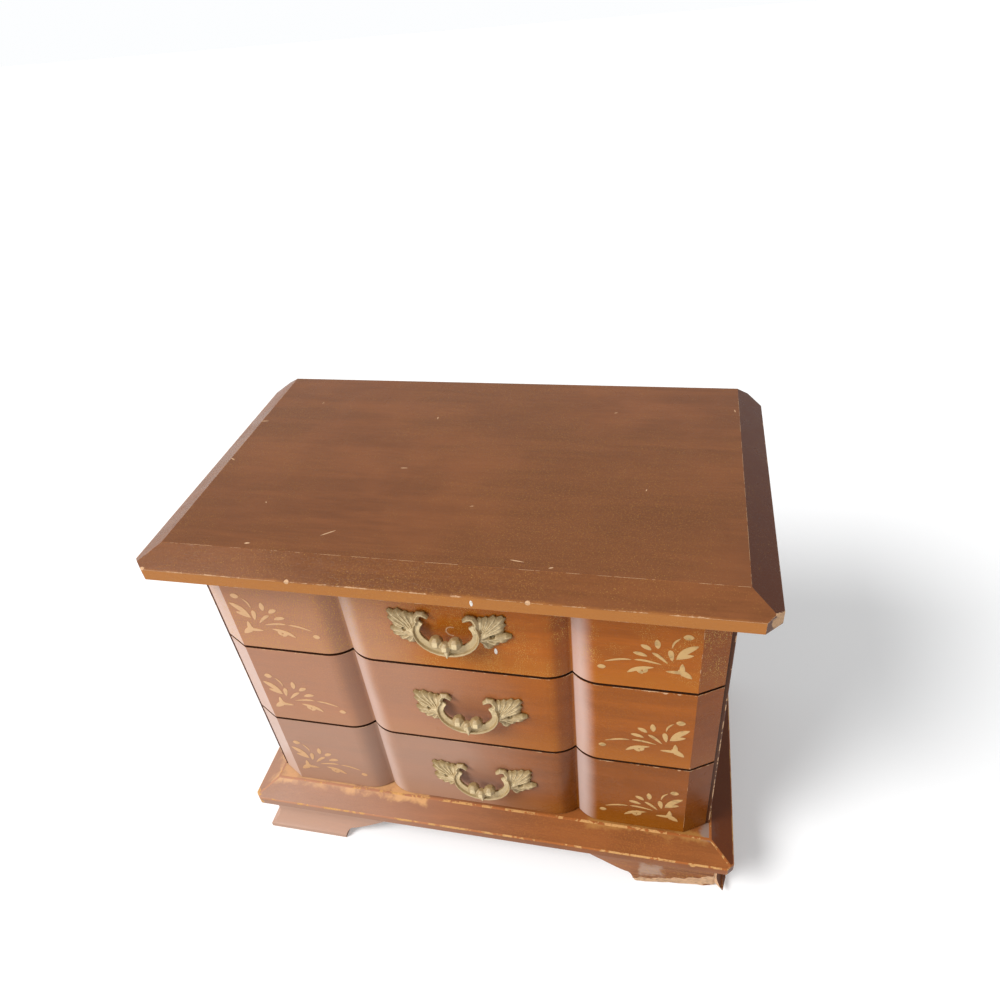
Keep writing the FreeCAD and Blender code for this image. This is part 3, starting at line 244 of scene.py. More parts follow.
def shade(value, factor):
    """A darker or lighter tone of a colour."""
    return tuple(min(1.0, channel * factor) for channel in value[:3])


def tinted(value, red, green, blue):
    """A colour with each channel scaled by itself."""
    return (value[0] * red, value[1] * green, value[2] * blue)


# Lacquered wood

# tones over the stain: painted sheen of the light towards the left, painted glare on left flanks, specks, and
# painted shade on what faces up in a gap
LEFT_SHEEN = (0.60, 0.41, 0.32)
LEFT_GLARE = (0.74, 0.62, 0.58)
DUST = (0.56, 0.32, 0.07)
GAP_SHADE = (0.042, 0.016, 0.008)

# depth of the lacquer's relief, and half the width of a rubbed place's soft sides
LACQUER_RELIEF = 0.00006
RUB_SOFT = 0.0016


def wood(
    name, stain, along, seed, gloss, worn=0.0, faces=(), spots=(), rubs=(), glow=None, dust=0.0, left_glare=0.0,
    left_sheen=None, right_shade=0.0, gap_shade=False, raw=None,
):
    """Stained and lacquered wood, with grain along one axis.

    worn is the share of bare wood, from 0 to 1. The lacquer is chipped near each plane of faces, (axis,
    place, reach) in metres, and round each of spots, (place, radius) in millimetres. Each of rubs is a box
    with its own tone, (low corner, high corner, colour). glow lightens the wood from one height down to
    another, (from, to, colour). dust is the share of pale specks. left_glare is the share of a painted glare
    on left flanks, and left_sheen a painted sheen that grows towards the left, (from, to, share). right_shade
    is painted shade on right flanks, and gap_shade painted shade, nearly black, on what faces up in a gap.
    raw is the colour of the bare wood.
    """
    finish = Finish(name)
    shift = (seed * 0.37, seed * 0.21, seed * 0.53)
    flat = finish.stretched((1, 1, 1), shift)
    tone, fibre, pores = grain(finish, stain, along, shift)
    mottle = finish.noise(flat, 26.0, detail=3.0, rough=0.5, warp=0.4)
    cloud = finish.noise(flat, 9.0, detail=2.0, rough=0.5)
    patches = finish.noise(flat, 95.0, detail=4.0, rough=0.6, warp=0.4)
    grit = finish.noise(flat, 1300.0, detail=2.0, rough=0.6)
    tone = finish.blend(finish.step(mottle, 0.44, 0.70) * 0.35, tone, shade(stain, 1.36))
    tone = finish.blend(finish.step(cloud, 0.40, 0.64) * 0.35, tone, shade(stain, 0.72))
    gold = finish.step(grit, 0.48, 0.68) * finish.step(cloud, 0.34, 0.60) * 0.42
    tone = finish.blend(gold, tone, tinted(stain, 1.5, 1.75, 1.3))
    place = finish.axes()
    x, z = place[0], place[2]
    normal = finish.normals()
    right, up = normal[0], normal[2]
    smears = finish.noise(flat, 34.0, detail=5.0, rough=0.6, warp=1.2)
    rough = finish.step(smears, 0.35, 0.75) * 0.12 + (gloss - 0.04)
    rough = rough + finish.step(pores, 0.58, 0.75) * 0.08
    if glow:
        start, end, light = glow
        rub = (finish.noise(flat, 70.0, detail=4.0, rough=0.6) - 0.5) * abs(start - end)
        tone = finish.blend(finish.step(z + rub, start, end) * 0.62, tone, light)
    for low, high, light in rubs:
        inside = box_mask(finish, place, low, high, (patches - 0.5) * 0.012)
        tone = finish.blend(inside * 0.75, tone, light)
    # painted shade: right flanks take a deeper, redder tone of the stain
    if right_shade:
        tone = finish.blend(finish.step(right, 0.18, 0.42) * right_shade, tone, tinted(stain, 0.40, 0.26, 0.20))
    # painted glare of the light on left flanks: a pale grey-pink, a little duller
    if left_glare:
        painted_light = finish.step((mottle - 0.5) * 0.25 - right, 0.08, 0.55) * left_glare
        tone = finish.blend(painted_light, tone, LEFT_GLARE)
        rough = rough + painted_light * 0.15
    # painted sheen of the light: pale, growing towards the left
    if left_sheen:
        start, end, share = left_sheen
        painted_light = finish.step(x + (mottle - 0.5) * 0.03, start, end) * share
        tone = finish.blend(painted_light, tone, LEFT_SHEEN)
        rough = rough + painted_light * 0.15
    if dust:
        points = finish.noise(flat, 2100.0, detail=1.0, rough=0.5)
        specks = finish.step(points, 0.66 - dust * 0.1, 0.76 - dust * 0.1)
        specks = specks * finish.step(patches + cloud, 0.80, 1.10)
        tone = finish.blend(specks * dust, tone, DUST)
        rough = rough + specks * 0.2
    relief = fibre * 0.4 + finish.step(pores, 0.75, 0.55) * 0.5
    marks = wear(finish, flat, patches, place, normal, worn, faces, spots)
    if marks:
        mask = finish.highest(*marks)
        bare = raw or colours().bare
        pale = finish.blend(finish.step(grit, 0.4, 0.6) * 0.5, bare, shade(bare, 0.66))
        tone = finish.blend(mask, tone, pale)
        rough = finish.highest(rough, mask * 0.75)
        relief = relief - mask * 1.6
    # painted shade: what faces up in a gap turns nearly black
    if gap_shade:
        tone = finish.blend(finish.step(up, 0.90, 0.985), tone, GAP_SHADE)
    finish.bump(relief, LACQUER_RELIEF)
    finish.set(Base_Color=tone, Roughness=rough, Specular_IOR_Level=0.11)
    finish.set(Coat_Weight=0.04, Coat_Roughness=0.15)
    return finish.material


def box_mask(finish, place, low, high, ragged):
    """Mask of a box between two corners, its sides soft and ragged."""
    return finish.lowest(*[
        finish.step(at + ragged, start - RUB_SOFT, start + RUB_SOFT)
        * finish.step(at + ragged, end + RUB_SOFT, end - RUB_SOFT)
        for at, start, end in zip(place, low, high)
    ])


def fibres(along, fineness):
    """Scale by axis of wood whose fibres run along one axis."""
    return tuple(1.0 if axis == along else fineness for axis in "XYZ")


def grain(finish, stain, along, shift):
    """Tone, fibre and pores of stained wood whose grain runs along one axis."""
    place = finish.stretched(fibres(along, 9.0), shift)
    bands = finish.noise(place, 13.0, detail=3.0, rough=0.5, warp=0.5)
    fibre = finish.noise(place, 80.0, detail=6.0, rough=0.65, warp=0.15)
    pores = finish.noise(place, 330.0, detail=2.0, rough=0.5)
    tone = finish.blend(finish.step(bands, 0.36, 0.64), shade(stain, 0.90), shade(stain, 1.09))
    tone = finish.blend(finish.step(fibre, 0.34, 0.70) * 0.40, tone, shade(stain, 0.70))
    tone = finish.blend(finish.step(pores, 0.60, 0.74) * 0.30, tone, shade(stain, 0.50))
    return tone, fibre, pores


def wear(finish, flat, patches, place, normal, worn, faces, spots):
    """Masks of bare wood: all over, along the edges of planes and round spots."""
    chips = finish.noise(flat, 420.0, detail=4.0, rough=0.65, warp=0.6)
    marks = []
    if worn:
        level = 0.86 - worn * 0.22
        marks.append(finish.step(chips * 0.5 + patches, level, level + 0.03))
    for axis, plane, reach in faces:
        number = "XYZ".index(axis)
        gap = abs(place[number] - plane)
        near = finish.step(gap + chips * reach * 1.6, reach * 1.10, reach * 0.86)
        near = near * finish.step(abs(normal[number]), 0.97, 0.85)
        marks.append(near * finish.step(patches, 0.50, 0.56))
    for middle, radius in spots:
        reach = radius * MM
        away = finish.distance(tuple(number * MM for number in middle)) + (patches - 0.5) * reach * 1.6
        marks.append(finish.step(away + chips * reach * 0.4, reach * 1.05, reach * 0.95))
    return marks


def plain_wood(name, stain, along, seed):
    """Unlacquered softwood of the hidden parts."""
    finish = Finish(name)
    place = finish.stretched(fibres(along, 8.0), (seed, seed, seed))
    rings = finish.noise(place, 14.0, detail=3.0, rough=0.5, warp=1.2)
    fibre = finish.noise(place, 130.0, detail=5.0, rough=0.6)
    tone = finish.blend(finish.step(rings, 0.40, 0.62), shade(stain, 1.1), shade(stain, 0.78))
    tone = finish.blend(finish.step(fibre, 0.3, 0.8) * 0.4, tone, shade(stain, 0.62))
    finish.bump(fibre, 0.00012)
    finish.set(Base_Color=tone, Roughness=finish.step(fibre, 0.2, 0.8) * 0.15 + 0.62)
    return finish.material


def metal(name, bright, dark, rough):
    """Metal with tarnish in its hollows and a fine relief."""
    finish = Finish(name)
    stain = finish.noise(finish.place, 240.0, detail=4.0, rough=0.6, warp=0.5)
    fine = finish.noise(finish.place, 1680.0, detail=3.0, rough=0.6)
    tone = finish.blend(finish.step(stain, 0.40, 0.66), bright, dark)
    tone = finish.blend(finish.step(fine, 0.55, 0.75) * 0.35, tone, shade(bright, 1.35))
    finish.bump(stain * 0.6 + fine * 0.4, 0.00004)
    finish.set(
        Base_Color=tone, Metallic=1.0 - finish.step(stain, 0.5, 0.75) * 0.25,
        Roughness=rough + finish.step(stain, 0.35, 0.7) * 0.22,
    )
    return finish.material


def velvet(name, pile):
    """Flocked or woven pile with brushed patches."""
    finish = Finish(name)
    nap = finish.noise(finish.place, 1500.0, detail=2.0, rough=0.6)
    strokes = finish.noise(finish.place, 60.0, detail=3.0, rough=0.5, warp=1.5)
    tone = finish.blend(finish.step(strokes, 0.40, 0.62), shade(pile, 0.75), shade(pile, 1.5))
    tone = finish.blend(finish.step(nap, 0.3, 0.7), shade(pile, 0.5), tone)
    finish.bump(nap, 0.0002)
    finish.set(Base_Color=tone, Roughness=0.95, Sheen_Weight=0.8, Sheen_Roughness=0.4)
    finish.shader.inputs["Sheen Tint"].default_value = (*shade(pile, 2.5), 1.0)
    return finish.material


# Mesh helpers

SAME_POINT = 0.000002
FLAT_ANGLE = math.radians(0.4)
SHARP_ANGLE = math.radians(17.0)


def linked(name, data):
    """New object of the scene."""
    item = bpy.data.objects.new(name, data)
    bpy.context.scene.collection.objects.link(item)
    return item


def finished(name, shape, body, materials, smooth=35.0):
    """Makes the bmesh an object at the origin that rides on a body."""
    mesh = bpy.data.meshes.new(name)
    bmesh.ops.recalc_face_normals(shape, faces=shape.faces)
    for face in shape.faces:
        face.smooth = True
    shape.to_mesh(mesh)
    shape.free()
    mesh.set_sharp_from_angle(angle=math.radians(smooth))
    piece = linked(name, mesh)
    for material in materials:
        mesh.materials.append(material)
    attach(piece, body)
    return piece


def solid_copy(node):
    """The node's own shape, its triangles joined into flat faces."""
    shape = bmesh.new()
    shape.from_mesh(frame["nodes"][node].data)
    bmesh.ops.remove_doubles(shape, verts=shape.verts, dist=SAME_POINT)
    bmesh.ops.dissolve_limit(
        shape, angle_limit=FLAT_ANGLE, verts=shape.verts, edges=shape.edges, use_dissolve_boundaries=False
    )
    return shape


def picked(items, kind):
    """The items of one kind in the result of a bmesh operator."""
    return [item for item in items if isinstance(item, kind)]


def edges_of(verts):
    return list({edge for vert in verts for edge in vert.link_edges})


def bevel(shape, edges, width, segments, clamp=False):
    return bmesh.ops.bevel(
        shape, geom=edges, offset=width, offset_type="OFFSET", affect="EDGES", segments=segments, profile=0.5,
        material=-1, clamp_overlap=clamp,
    )


def sharp_edges(shape):
    """Outward edges whose faces meet at a clear angle."""
    return [
        edge for edge in shape.edges
        if edge.is_manifold and edge.is_convex and edge.calc_face_angle(0.0) > SHARP_ANGLE
    ]


def rounded_copy(node, body, materials, width):
    """Copy of a node with its sharp edges rounded; the roundings take the second material."""
    shape = solid_copy(node)
    for face in shape.faces:
        face.material_index = 0
    result = bevel(shape, sharp_edges(shape), width, 2, clamp=True)
    for face in result["faces"]:
        face.material_index = 1
    piece = finished(f"{node}_lacquered", shape, body, materials, smooth=40.0)
    even = piece.modifiers.new("even shading", "WEIGHTED_NORMAL")
    even.keep_sharp = True
    even.weight = 90
    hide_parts(node)


def paint(node, material):
    """Gives a node of the frame its material."""
    slots = frame["nodes"][node].data.materials
    slots.clear()
    slots.append(material)


def height_of(node):
    low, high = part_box(node)
    return low[2], high[2]


# Woodwork

# height of the straight edge under the bevel, in millimetres
LID_EDGE = 5.8
BASE_EDGE = 5.5

# metres that keep thin paint and scratches off the surface under them, and a scratch's thickness
LIFT = 0.00001
SCRATCH_THICK = 0.00002


class BOX_OT_lid(bpy.types.Operator):
    """Lid board with its worn bevels, corners and scratches"""

    bl_idname = "box.lid"
    bl_label = "Lid"

    def execute(self, context):
        stain = colours().lid
        low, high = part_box("lid_board")
        front = low[1] / MM
        band = low[2] / MM + LID_EDGE
        faces = [("Z", band * MM, 0.0006), ("Z", low[2], 0.0006)]
        spots = [
            ((135, front + 2, band - 3), 6.5),
            ((134, front + 3, band + 1), 3.2),
            ((-135, front + 4, band - 2), 2.6),
            ((-128, front, band + 1), 1.6),
            ((133, -low[1] / MM - 18, band), 2.2),
            ((-60, front, band), 1.3),
            ((41, front, band), 1.2),
        ]
        # painted shade darkens the lid's right-facing bevel and end
        board = wood(
            "lid_lacquer", stain, "X", 1.0, 0.27, faces=faces, spots=spots, dust=0.35, right_shade=0.9,
            glow=((band + 0.6) * MM, (band - 0.6) * MM, tinted(stain, 2.9, 3.2, 1.9)),
        )
        edge = wood("lid_worn_edge", shade(stain, 1.55), "X", 2.0, 0.34, worn=0.55, spots=spots)
        rounded_copy("lid_board", "lid", [board, edge], sizes().edge_round)
        scratches(high[2])
        return {"FINISHED"}


SCRATCHES = (
    # middle on the lid in millimetres, direction in degrees, length in millimetres, and share of the width
    ((-121.5, 23.8), 8, 4.5, 1.0),
    ((-121.8, -11.9), 150, 3.0, 1.0),
    ((-50.1, -62.0), 35, 7.0, 1.1),
    ((-83.5, -72.0), 10, 2.6, 1.6),
    ((-31.4, -12.4), 5, 3.6, 0.9),
    ((-27.1, 32.6), 95, 2.2, 0.9),
    ((34.3, -70.7), 172, 6.0, 0.8),
    ((48.3, -73.2), 20, 2.0, 1.1),
    ((63.5, 42.9), 30, 1.8, 0.9),
    ((121.1, 48.1), 100, 2.4, 1.0),
    ((-96.0, 44.0), 60, 1.6, 0.8),
    ((-88.0, -44.0), 120, 1.4, 0.8),
    ((8.0, -38.0), 15, 1.6, 0.7),
    ((82.0, -20.0), 75, 1.5, 0.7),
)


def scratches(top):
    """Pale scratches and nicks in the lid's lacquer."""
    shape = bmesh.new()
    for (x, y), turn, length, width in SCRATCHES:
        middle = Vector((x * MM, y * MM, top + LIFT))
        turn = math.radians(turn)
        reach = Vector((math.cos(turn), math.sin(turn), 0)) * length * MM / 2
        wide = sizes().scratch_wide * width
        sliver(shape, middle - reach, middle + reach, Vector((0, 0, 1)), wide, SCRATCH_THICK)
    piece = finished("lid_scratches", shape, "lid", [bare_wood("scratched_wood")])


def sliver(shape, start, end, up, width, thick, belly=0.5, bend=0.0):
    """Thin domed leaf from start to end: up is the surface's normal, belly the widest point, bend its bow."""
    along = end - start
    across = up.cross(along).normalized()
    made = bmesh.ops.create_circle(shape, cap_ends=True, segments=16, radius=0.5)
    turn = Matrix((along, across * width, up)).transposed().to_4x4()
    turn.translation = (start + end) / 2
    for vert in made["verts"]:
        # the widest point moves from the middle towards the start or the end, and the middle bows out
        share = vert.co.x + 0.5
        vert.co.y *= (1.0 - abs(vert.co.x * 2) ** 3) ** 0.35 if abs(vert.co.x) < 0.5 else 1.0
        vert.co.y += bend / width * math.sin(math.pi * share)
        vert.co.x += (belly - 0.5) * math.sin(math.pi * share) * 0.8
    bmesh.ops.transform(shape, matrix=turn, verts=made["verts"])
    faces = list({face for vert in made["verts"] for face in vert.link_faces})
    grown = bmesh.ops.extrude_face_region(shape, geom=faces)
    bmesh.ops.translate(shape, verts=picked(grown["geom"], bmesh.types.BMVert), vec=up * thick * 0.5)
    peak = bmesh.ops.poke(shape, faces=picked(grown["geom"], bmesh.types.BMFace))
    bmesh.ops.translate(shape, verts=peak["verts"], vec=up * thick * 0.6)


def bare_wood(name):
    finish = Finish(name)
    bare = colours().bare
    fibre = finish.noise(finish.stretched(fibres("X", 6)), 300.0, detail=4.0)
    tone = finish.blend(finish.step(fibre, 0.35, 0.7), bare, shade(bare, 0.7))
    finish.bump(fibre, 0.0001)
    finish.set(Base_Color=tone, Roughness=finish.step(fibre, 0.2, 0.8) * 0.1 + 0.7)
    return finish.material


TIERS = (
    # node, body, tone of the stain, dust, and painted sheen of the light towards the left: from and to in
    # metres across, and its share
    ("false_drawer_front", "case", 1.12, 0.9, (0.000, -0.045, 0.33)),
    ("middle_drawer_front", "middle_drawer", 0.97, 0.3, (0.045, -0.035, 0.34)),
    ("bottom_drawer_front", "bottom_drawer", 0.70, 0.2, (0.055, -0.020, 0.46)),
)


CHIPS = {
    # chipped places along a front's upper edge: from the middle, and radius, in millimetres
    "middle_drawer_front": (
        (-95, 0.7), (-82, 0.6), (8, 0.6), (60, 0.7), (88, 1.0), (95, 1.6), (101, 1.1), (109, 0.7),
    ),
    "bottom_drawer_front": ((-60, 0.7), (20, 0.6), (66, 0.7), (104, 1.0), (111, 1.2)),
}


class BOX_OT_fronts(bpy.types.Operator):
    """Three block fronts, darker towards the floor, with chipped upper edges and dried drips"""

    bl_idname = "box.fronts"
    bl_label = "Fronts"

    def execute(self, context):
        for number, (node, body, tone, dust, left_sheen) in enumerate(TIERS):
            low, high = height_of(node)
            stain = shade(colours().front, tone)
            glow = (low + 0.018, low + 0.003, tinted(stain, 1.15, 1.35, 1.2))
            faces = [("Z", high, 0.0012), ("Z", low, 0.0004)]
            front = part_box(node)[0][1]
            spots = [((x, front / MM, high / MM), radius) for x, radius in CHIPS.get(node, ())]
            # painted light on each front: glare on left flanks, sheen towards the left, shade on right flanks
            # and nearly black shade on the top seen in the gap; the worn edges take the sheen and the shade
            # too
            board = wood(
                f"{node}_lacquer", stain, "X", 3.0 + number, 0.27, faces=faces, spots=spots, glow=glow,
                dust=dust, left_glare=0.5, left_sheen=left_sheen, right_shade=0.42, gap_shade=True,
            )
            edge = wood(
                f"{node}_worn_edge", shade(stain, 1.1), "X", 6.0 + number, 0.36, worn=0.10,
                faces=[("Z", high, 0.0022)], left_sheen=left_sheen, right_shade=0.3,
            )
            rounded_copy(node, body, [board, edge], sizes().edge_round * 0.8)
        drips()
        return {"FINISHED"}


def dried_paint():
    """Chalky white with a yellowed haze."""
    chalk = Finish("dried_drip")
    cloud = chalk.noise(chalk.place, 900.0, detail=3.0)
    chalk.set(
        Base_Color=chalk.blend(chalk.step(cloud, 0.35, 0.7), (0.80, 0.77, 0.72), (0.58, 0.50, 0.42)),
        Roughness=chalk.step(cloud, 0.3, 0.7) * 0.2 + 0.5,
    )
    chalk.bump(cloud, 0.00005)
    return chalk.material


# place in millimetres, across, from the surface that carries it and above the floor; radius and stretch
LID_DRIP = ((18.4, 0.12, 216.3), 0.85, 2.5)
FRONT_DRIP = ((20.2, 0.0, 168.8), 0.75, 2.6)
RING_AT = (1.2, -0.03, 179.3)
RING_RADIUS = 0.0030


def on_surface(spot, surface):
    """A place in metres, from millimetres and the place of an upright surface."""
    x, out, z = spot
    return Vector((x, surface / MM + out, z)) * MM


def drop(shape, surface, spot, radius, stretch):
    """A dried drop on an upright surface."""
    made = bmesh.ops.create_uvsphere(shape, u_segments=14, v_segments=8, radius=radius * MM)
    bmesh.ops.scale(shape, verts=made["verts"], vec=(1.0, 0.22, stretch))
    bmesh.ops.translate(shape, verts=made["verts"], vec=on_surface(spot, surface))


def drips():
    """One dried drip on the lid's edge, one on the top front, and half a ring."""
    chalk = dried_paint()
    shape = bmesh.new()
    drop(shape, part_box("lid_board")[0][1], *LID_DRIP)
    piece = finished("lid_drip", shape, "lid", [chalk])
    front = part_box("false_drawer_front")[0][1]
    shape = bmesh.new()
    drop(shape, front, *FRONT_DRIP)
    half_ring(shape, front)
    piece = finished("dried_drips", shape, "case", [chalk, bare_wood("ring_mark")])


def half_ring(shape, surface):
    """Open ring mark on an upright surface, in the second material."""
    ring = bmesh.ops.create_circle(shape, segments=28, radius=RING_RADIUS)
    gone = [
        vert for vert in ring["verts"] if vert.co.x > RING_RADIUS * 0.4 and vert.co.y < RING_RADIUS * 0.8
    ]
    kept = [vert for vert in ring["verts"] if vert not in gone]
    bmesh.ops.delete(shape, geom=gone, context="VERTS")
    bmesh.ops.rotate(shape, verts=kept, cent=(0, 0, 0), matrix=Matrix.Rotation(math.pi / 2, 3, "X"))
    inner = bmesh.ops.extrude_edge_only(shape, edges=edges_of(kept))
    inner_verts = picked(inner["geom"], bmesh.types.BMVert)
    bmesh.ops.scale(shape, verts=inner_verts, vec=(0.80, 1.0, 0.80))
    bmesh.ops.translate(shape, verts=kept + inner_verts, vec=on_surface(RING_AT, surface))
    for face in shape.faces:
        face.material_index = 1 if any(vert in face.verts for vert in inner_verts) else 0


class BOX_OT_case(bpy.types.Operator):
    """Side panels, back, shelves and drawer boxes"""

    bl_idname = "box.case"
    bl_label = "Case"

    def execute(self, context):
        stain = colours().side
        for number, side in enumerate(("left", "right")):
            board = wood(f"{side}_side_lacquer", stain, "Z", 9.0 + number, 0.36)
            edge = wood(f"{side}_side_worn_edge", shade(stain, 1.3), "Z", 11.0 + number, 0.42, worn=0.4)
            rounded_copy(f"{side}_side_panel", "case", [board, edge], sizes().edge_round * 0.7)
        back = wood("back_stain", shade(stain, 0.8), "X", 13.0, 0.48)
        paint("back_panel", back)
        inner = colours().inner
        for number, node in enumerate(("drawer_divider", "compartment_floor", "foot_glue_blocks")):
            paint(node, plain_wood(f"{node}_wood", inner, "X", number * 1.7))
        for drawer in ("middle", "bottom"):
            for part, along in (("left_side", "Y"), ("right_side", "Y"), ("back", "X"), ("bottom", "X")):
                node = f"{drawer}_drawer_{part}"
                paint(node, plain_wood(f"{node}_wood", inner, along, len(node) * 0.9))
        return {"FINISHED"}


BREAKS = {
    # plane of the break, in millimetres from the base's front, and the way the broken part lies
    "front_right_foot_front_bracket": ((85, 2.9, 0), (0.098, -1.0, 0.0)),
    "front_right_foot_side_bracket": ((0, 0, 4.5), (0.0, -0.15, -1.0)),
}


# rubbed places: two corners in millimetres, and their tone
RUBS = (
    # from the middle, the bottom front's face and the board's top
    ((-128, -4.0, -1.2), (-30, 30.0, 4.0), (0.70, 0.36, 0.11)),
    ((60, -3.2, -1.2), (121, 2.0, 4.0), (0.40, 0.19, 0.05)),
    ((119, -2.0, -1.2), (127, 9.0, 4.0), (0.26, 0.20, 0.17)),
)
# from the middle, the base's front and the floor
SCUFF = ((87, -10, 5), (99, 20, 12), (0.42, 0.29, 0.22))

# painted sheen of the light towards the left, from and to in metres across and its share, and the bare wood
# of base and feet
BASE_LEFT_SHEEN = (0.05, -0.12, 0.36)
FOOT_LEFT_SHEEN = (0.17, -0.12, 0.62)
ORANGE = (0.62, 0.33, 0.12)


def rubbed(area, origin):
    """A rubbed place in metres from an origin."""
    low, high, light = area
    corners = [tuple(start + step * MM for start, step in zip(origin, corner)) for corner in (low, high)]
    return (*corners, light)


class BOX_OT_base(bpy.types.Operator):
    """Base board and bracket feet, the front right one broken"""

    bl_idname = "box.base"
    bl_label = "Base and feet"

    def execute(self, context):
        stain = colours().base
        low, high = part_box("base_board")
        front = low[1] / MM
        band = low[2] / MM + BASE_EDGE
        faces = [("Z", band * MM, 0.0005), ("Z", low[2], 0.0005)]
        spots = [
            ((-134, front + 3, band - 2), 4.2),
            ((-131, front, band - 3), 2.4),
            ((114.2, front, band - 1), 1.7),
            ((134, front + 5, band - 2), 2.0),
            ((97, front, band), 1.2),
        ]
        ledge = (0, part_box("bottom_drawer_front")[0][1], high[2])
        # painted sheen towards the left and painted shade on right flanks, on the board and its worn edges
        board = wood(
            "base_lacquer", stain, "X", 14.0, 0.32, faces=faces, spots=spots, dust=0.2, left_sheen=BASE_LEFT_SHEEN,
            rubs=[rubbed(area, ledge) for area in RUBS], right_shade=0.85, raw=ORANGE,
        )
        edge = wood(
            "base_worn_edge", shade(stain, 1.5), "X", 15.0, 0.42, worn=0.45, left_sheen=BASE_LEFT_SHEEN, raw=ORANGE
        )
        rounded_copy("base_board", "case", [board, edge], sizes().edge_round)
        for number, node in enumerate(sorted(frame["nodes"])):
            if node.endswith("_bracket"):
                foot_bracket(node, number, stain, (0, low[1], 0))
        return {"FINISHED"}


def foot_bracket(node, number, stain, corner):
    """One bracket of a foot, whole or broken."""
    broken = node in BREAKS
    along = "Y" if node.endswith("side_bracket") else "X"
    left_sheen = FOOT_LEFT_SHEEN if node.startswith("front") else None
    # painted shade on right flanks, and on the front feet a painted sheen towards the left
    face = wood(
        f"{node}_lacquer", stain, along, 16.0 + number, 0.36, rubs=[rubbed(SCUFF, corner)] if broken else (),
        dust=0.6 if broken else 0.3, left_sheen=left_sheen, right_shade=0.7,
    )
    worn = wood(
        f"{node}_worn_edge", shade(stain, 1.3), along, 30.0 + number, 0.45, worn=0.4, left_sheen=left_sheen, right_shade=0.5,
        raw=ORANGE,
    )
    if broken:
        broken_bracket(node, [face, worn, bare_wood(f"{node}_break")], corner)
    else:
        rounded_copy(node, "case", [face, worn], sizes().edge_round * 0.6)


# what counts as on the break's plane, and as the foot's lower edge, in metres
ON_PLANE = 0.00001
LOWER_EDGE = 0.0005
# number of the bare wood among a broken bracket's materials
BREAK_SLOT = 2


def broken_bracket(node, materials, corner):
    """A bracket of the front right foot without its toe: a rough break and a bare mitre."""
    shape = solid_copy(node)
    for face in shape.faces:
        mitre = face.normal.x < -0.5 and face.normal.y < -0.5
        face.material_index = BREAK_SLOT if mitre else 0
    place, away = BREAKS[node]
    place = Vector((place[0] * MM, corner[1] + place[1] * MM, place[2] * MM))
    away = Vector(away).normalized()
    everything = shape.verts[:] + shape.edges[:] + shape.faces[:]
    cut = bmesh.ops.bisect_plane(shape, geom=everything, plane_co=place, plane_no=away, clear_outer=True)
    rim = picked(cut["geom_cut"], bmesh.types.BMEdge)
    filled = bmesh.ops.triangle_fill(shape, edges=rim, use_beauty=True)
    fresh = picked(filled["geom"], bmesh.types.BMFace)
    for face in fresh:
        face.material_index = BREAK_SLOT
    edges = list({edge for face in fresh for edge in face.edges})
    bmesh.ops.subdivide_edges(shape, edges=edges, cuts=6, use_grid_fill=True)
    for vert in shape.verts:
        if abs((vert.co - place).dot(away)) > ON_PLANE:
            continue
        # uneven waves, 4 to 10 mm long
        torn = math.sin(vert.co.x * 610 + vert.co.z * 900) + 0.5 * math.sin(vert.co.x * 1730)
        if vert.co.z < LOWER_EDGE:
            # the lower edge is chipped upwards
            vert.co.z += (1.5 + torn) * sizes().torn * 0.6
        vert.co -= away * (1.5 + torn) * sizes().torn * 0.5
    piece = finished(f"{node}_broken", shape, "case", materials, smooth=25.0)
    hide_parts(node)


# Gilded sprigs

PETALS = (
    # start, end, width, widest point and bend in millimetres, from the front's right end and lower edge
    ((-54.9, 11.8), (-51.2, 11.9), 2.7, 0.5, 0.0),
    ((-51.9, 15.5), (-40.2, 18.2), 1.1, 0.6, 0.7),
    ((-39.1, 18.4), (-27.5, 16.8), 1.2, 0.35, 0.6),
    ((-39.7, 23.0), (-33.7, 21.3), 2.2, 0.45, 0.3),
    ((-36.6, 28.2), (-32.2, 25.4), 2.4, 0.5, 0.2),
    ((-30.0, 32.2), (-29.4, 26.6), 2.5, 0.5, 0.0),
    ((-31.8, 23.8), (-25.1, 17.8), 1.7, 0.3, 0.5),
    ((-24.4, 26.4), (-23.3, 19.6), 2.4, 0.28, 0.0),
    ((-23.7, 27.6), (-20.5, 34.1), 0.9, 0.5, 0.9),
    ((-19.6, 35.0), (-15.3, 35.2), 3.2, 0.5, 0.0),
    # notched leaf
    ((-21.7, 20.9), (-13.2, 30.3), 3.3, 0.55, 1.0),
    ((-21.6, 21.3), (-14.7, 24.3), 2.5, 0.45, 0.4),
    # three-pointed flower
    ((-25.8, 12.7), (-18.1, 12.8), 2.0, 0.72, 0.0),
    ((-19.1, 18.5), (-18.8, 10.6), 2.4, 0.55, 0.0),
    ((-20.7, 14.5), (-14.6, 9.5), 3.1, 0.45, 0.0),
    # pod with its two teeth
    ((-42.0, 9.7), (-30.7, 14.5), 2.3, 0.42, 1.1),
    ((-38.2, 12.6), (-35.3, 9.8), 2.0, 0.5, 0.0),
    ((-33.4, 13.4), (-35.2, 10.4), 2.0, 0.5, 0.0),
)


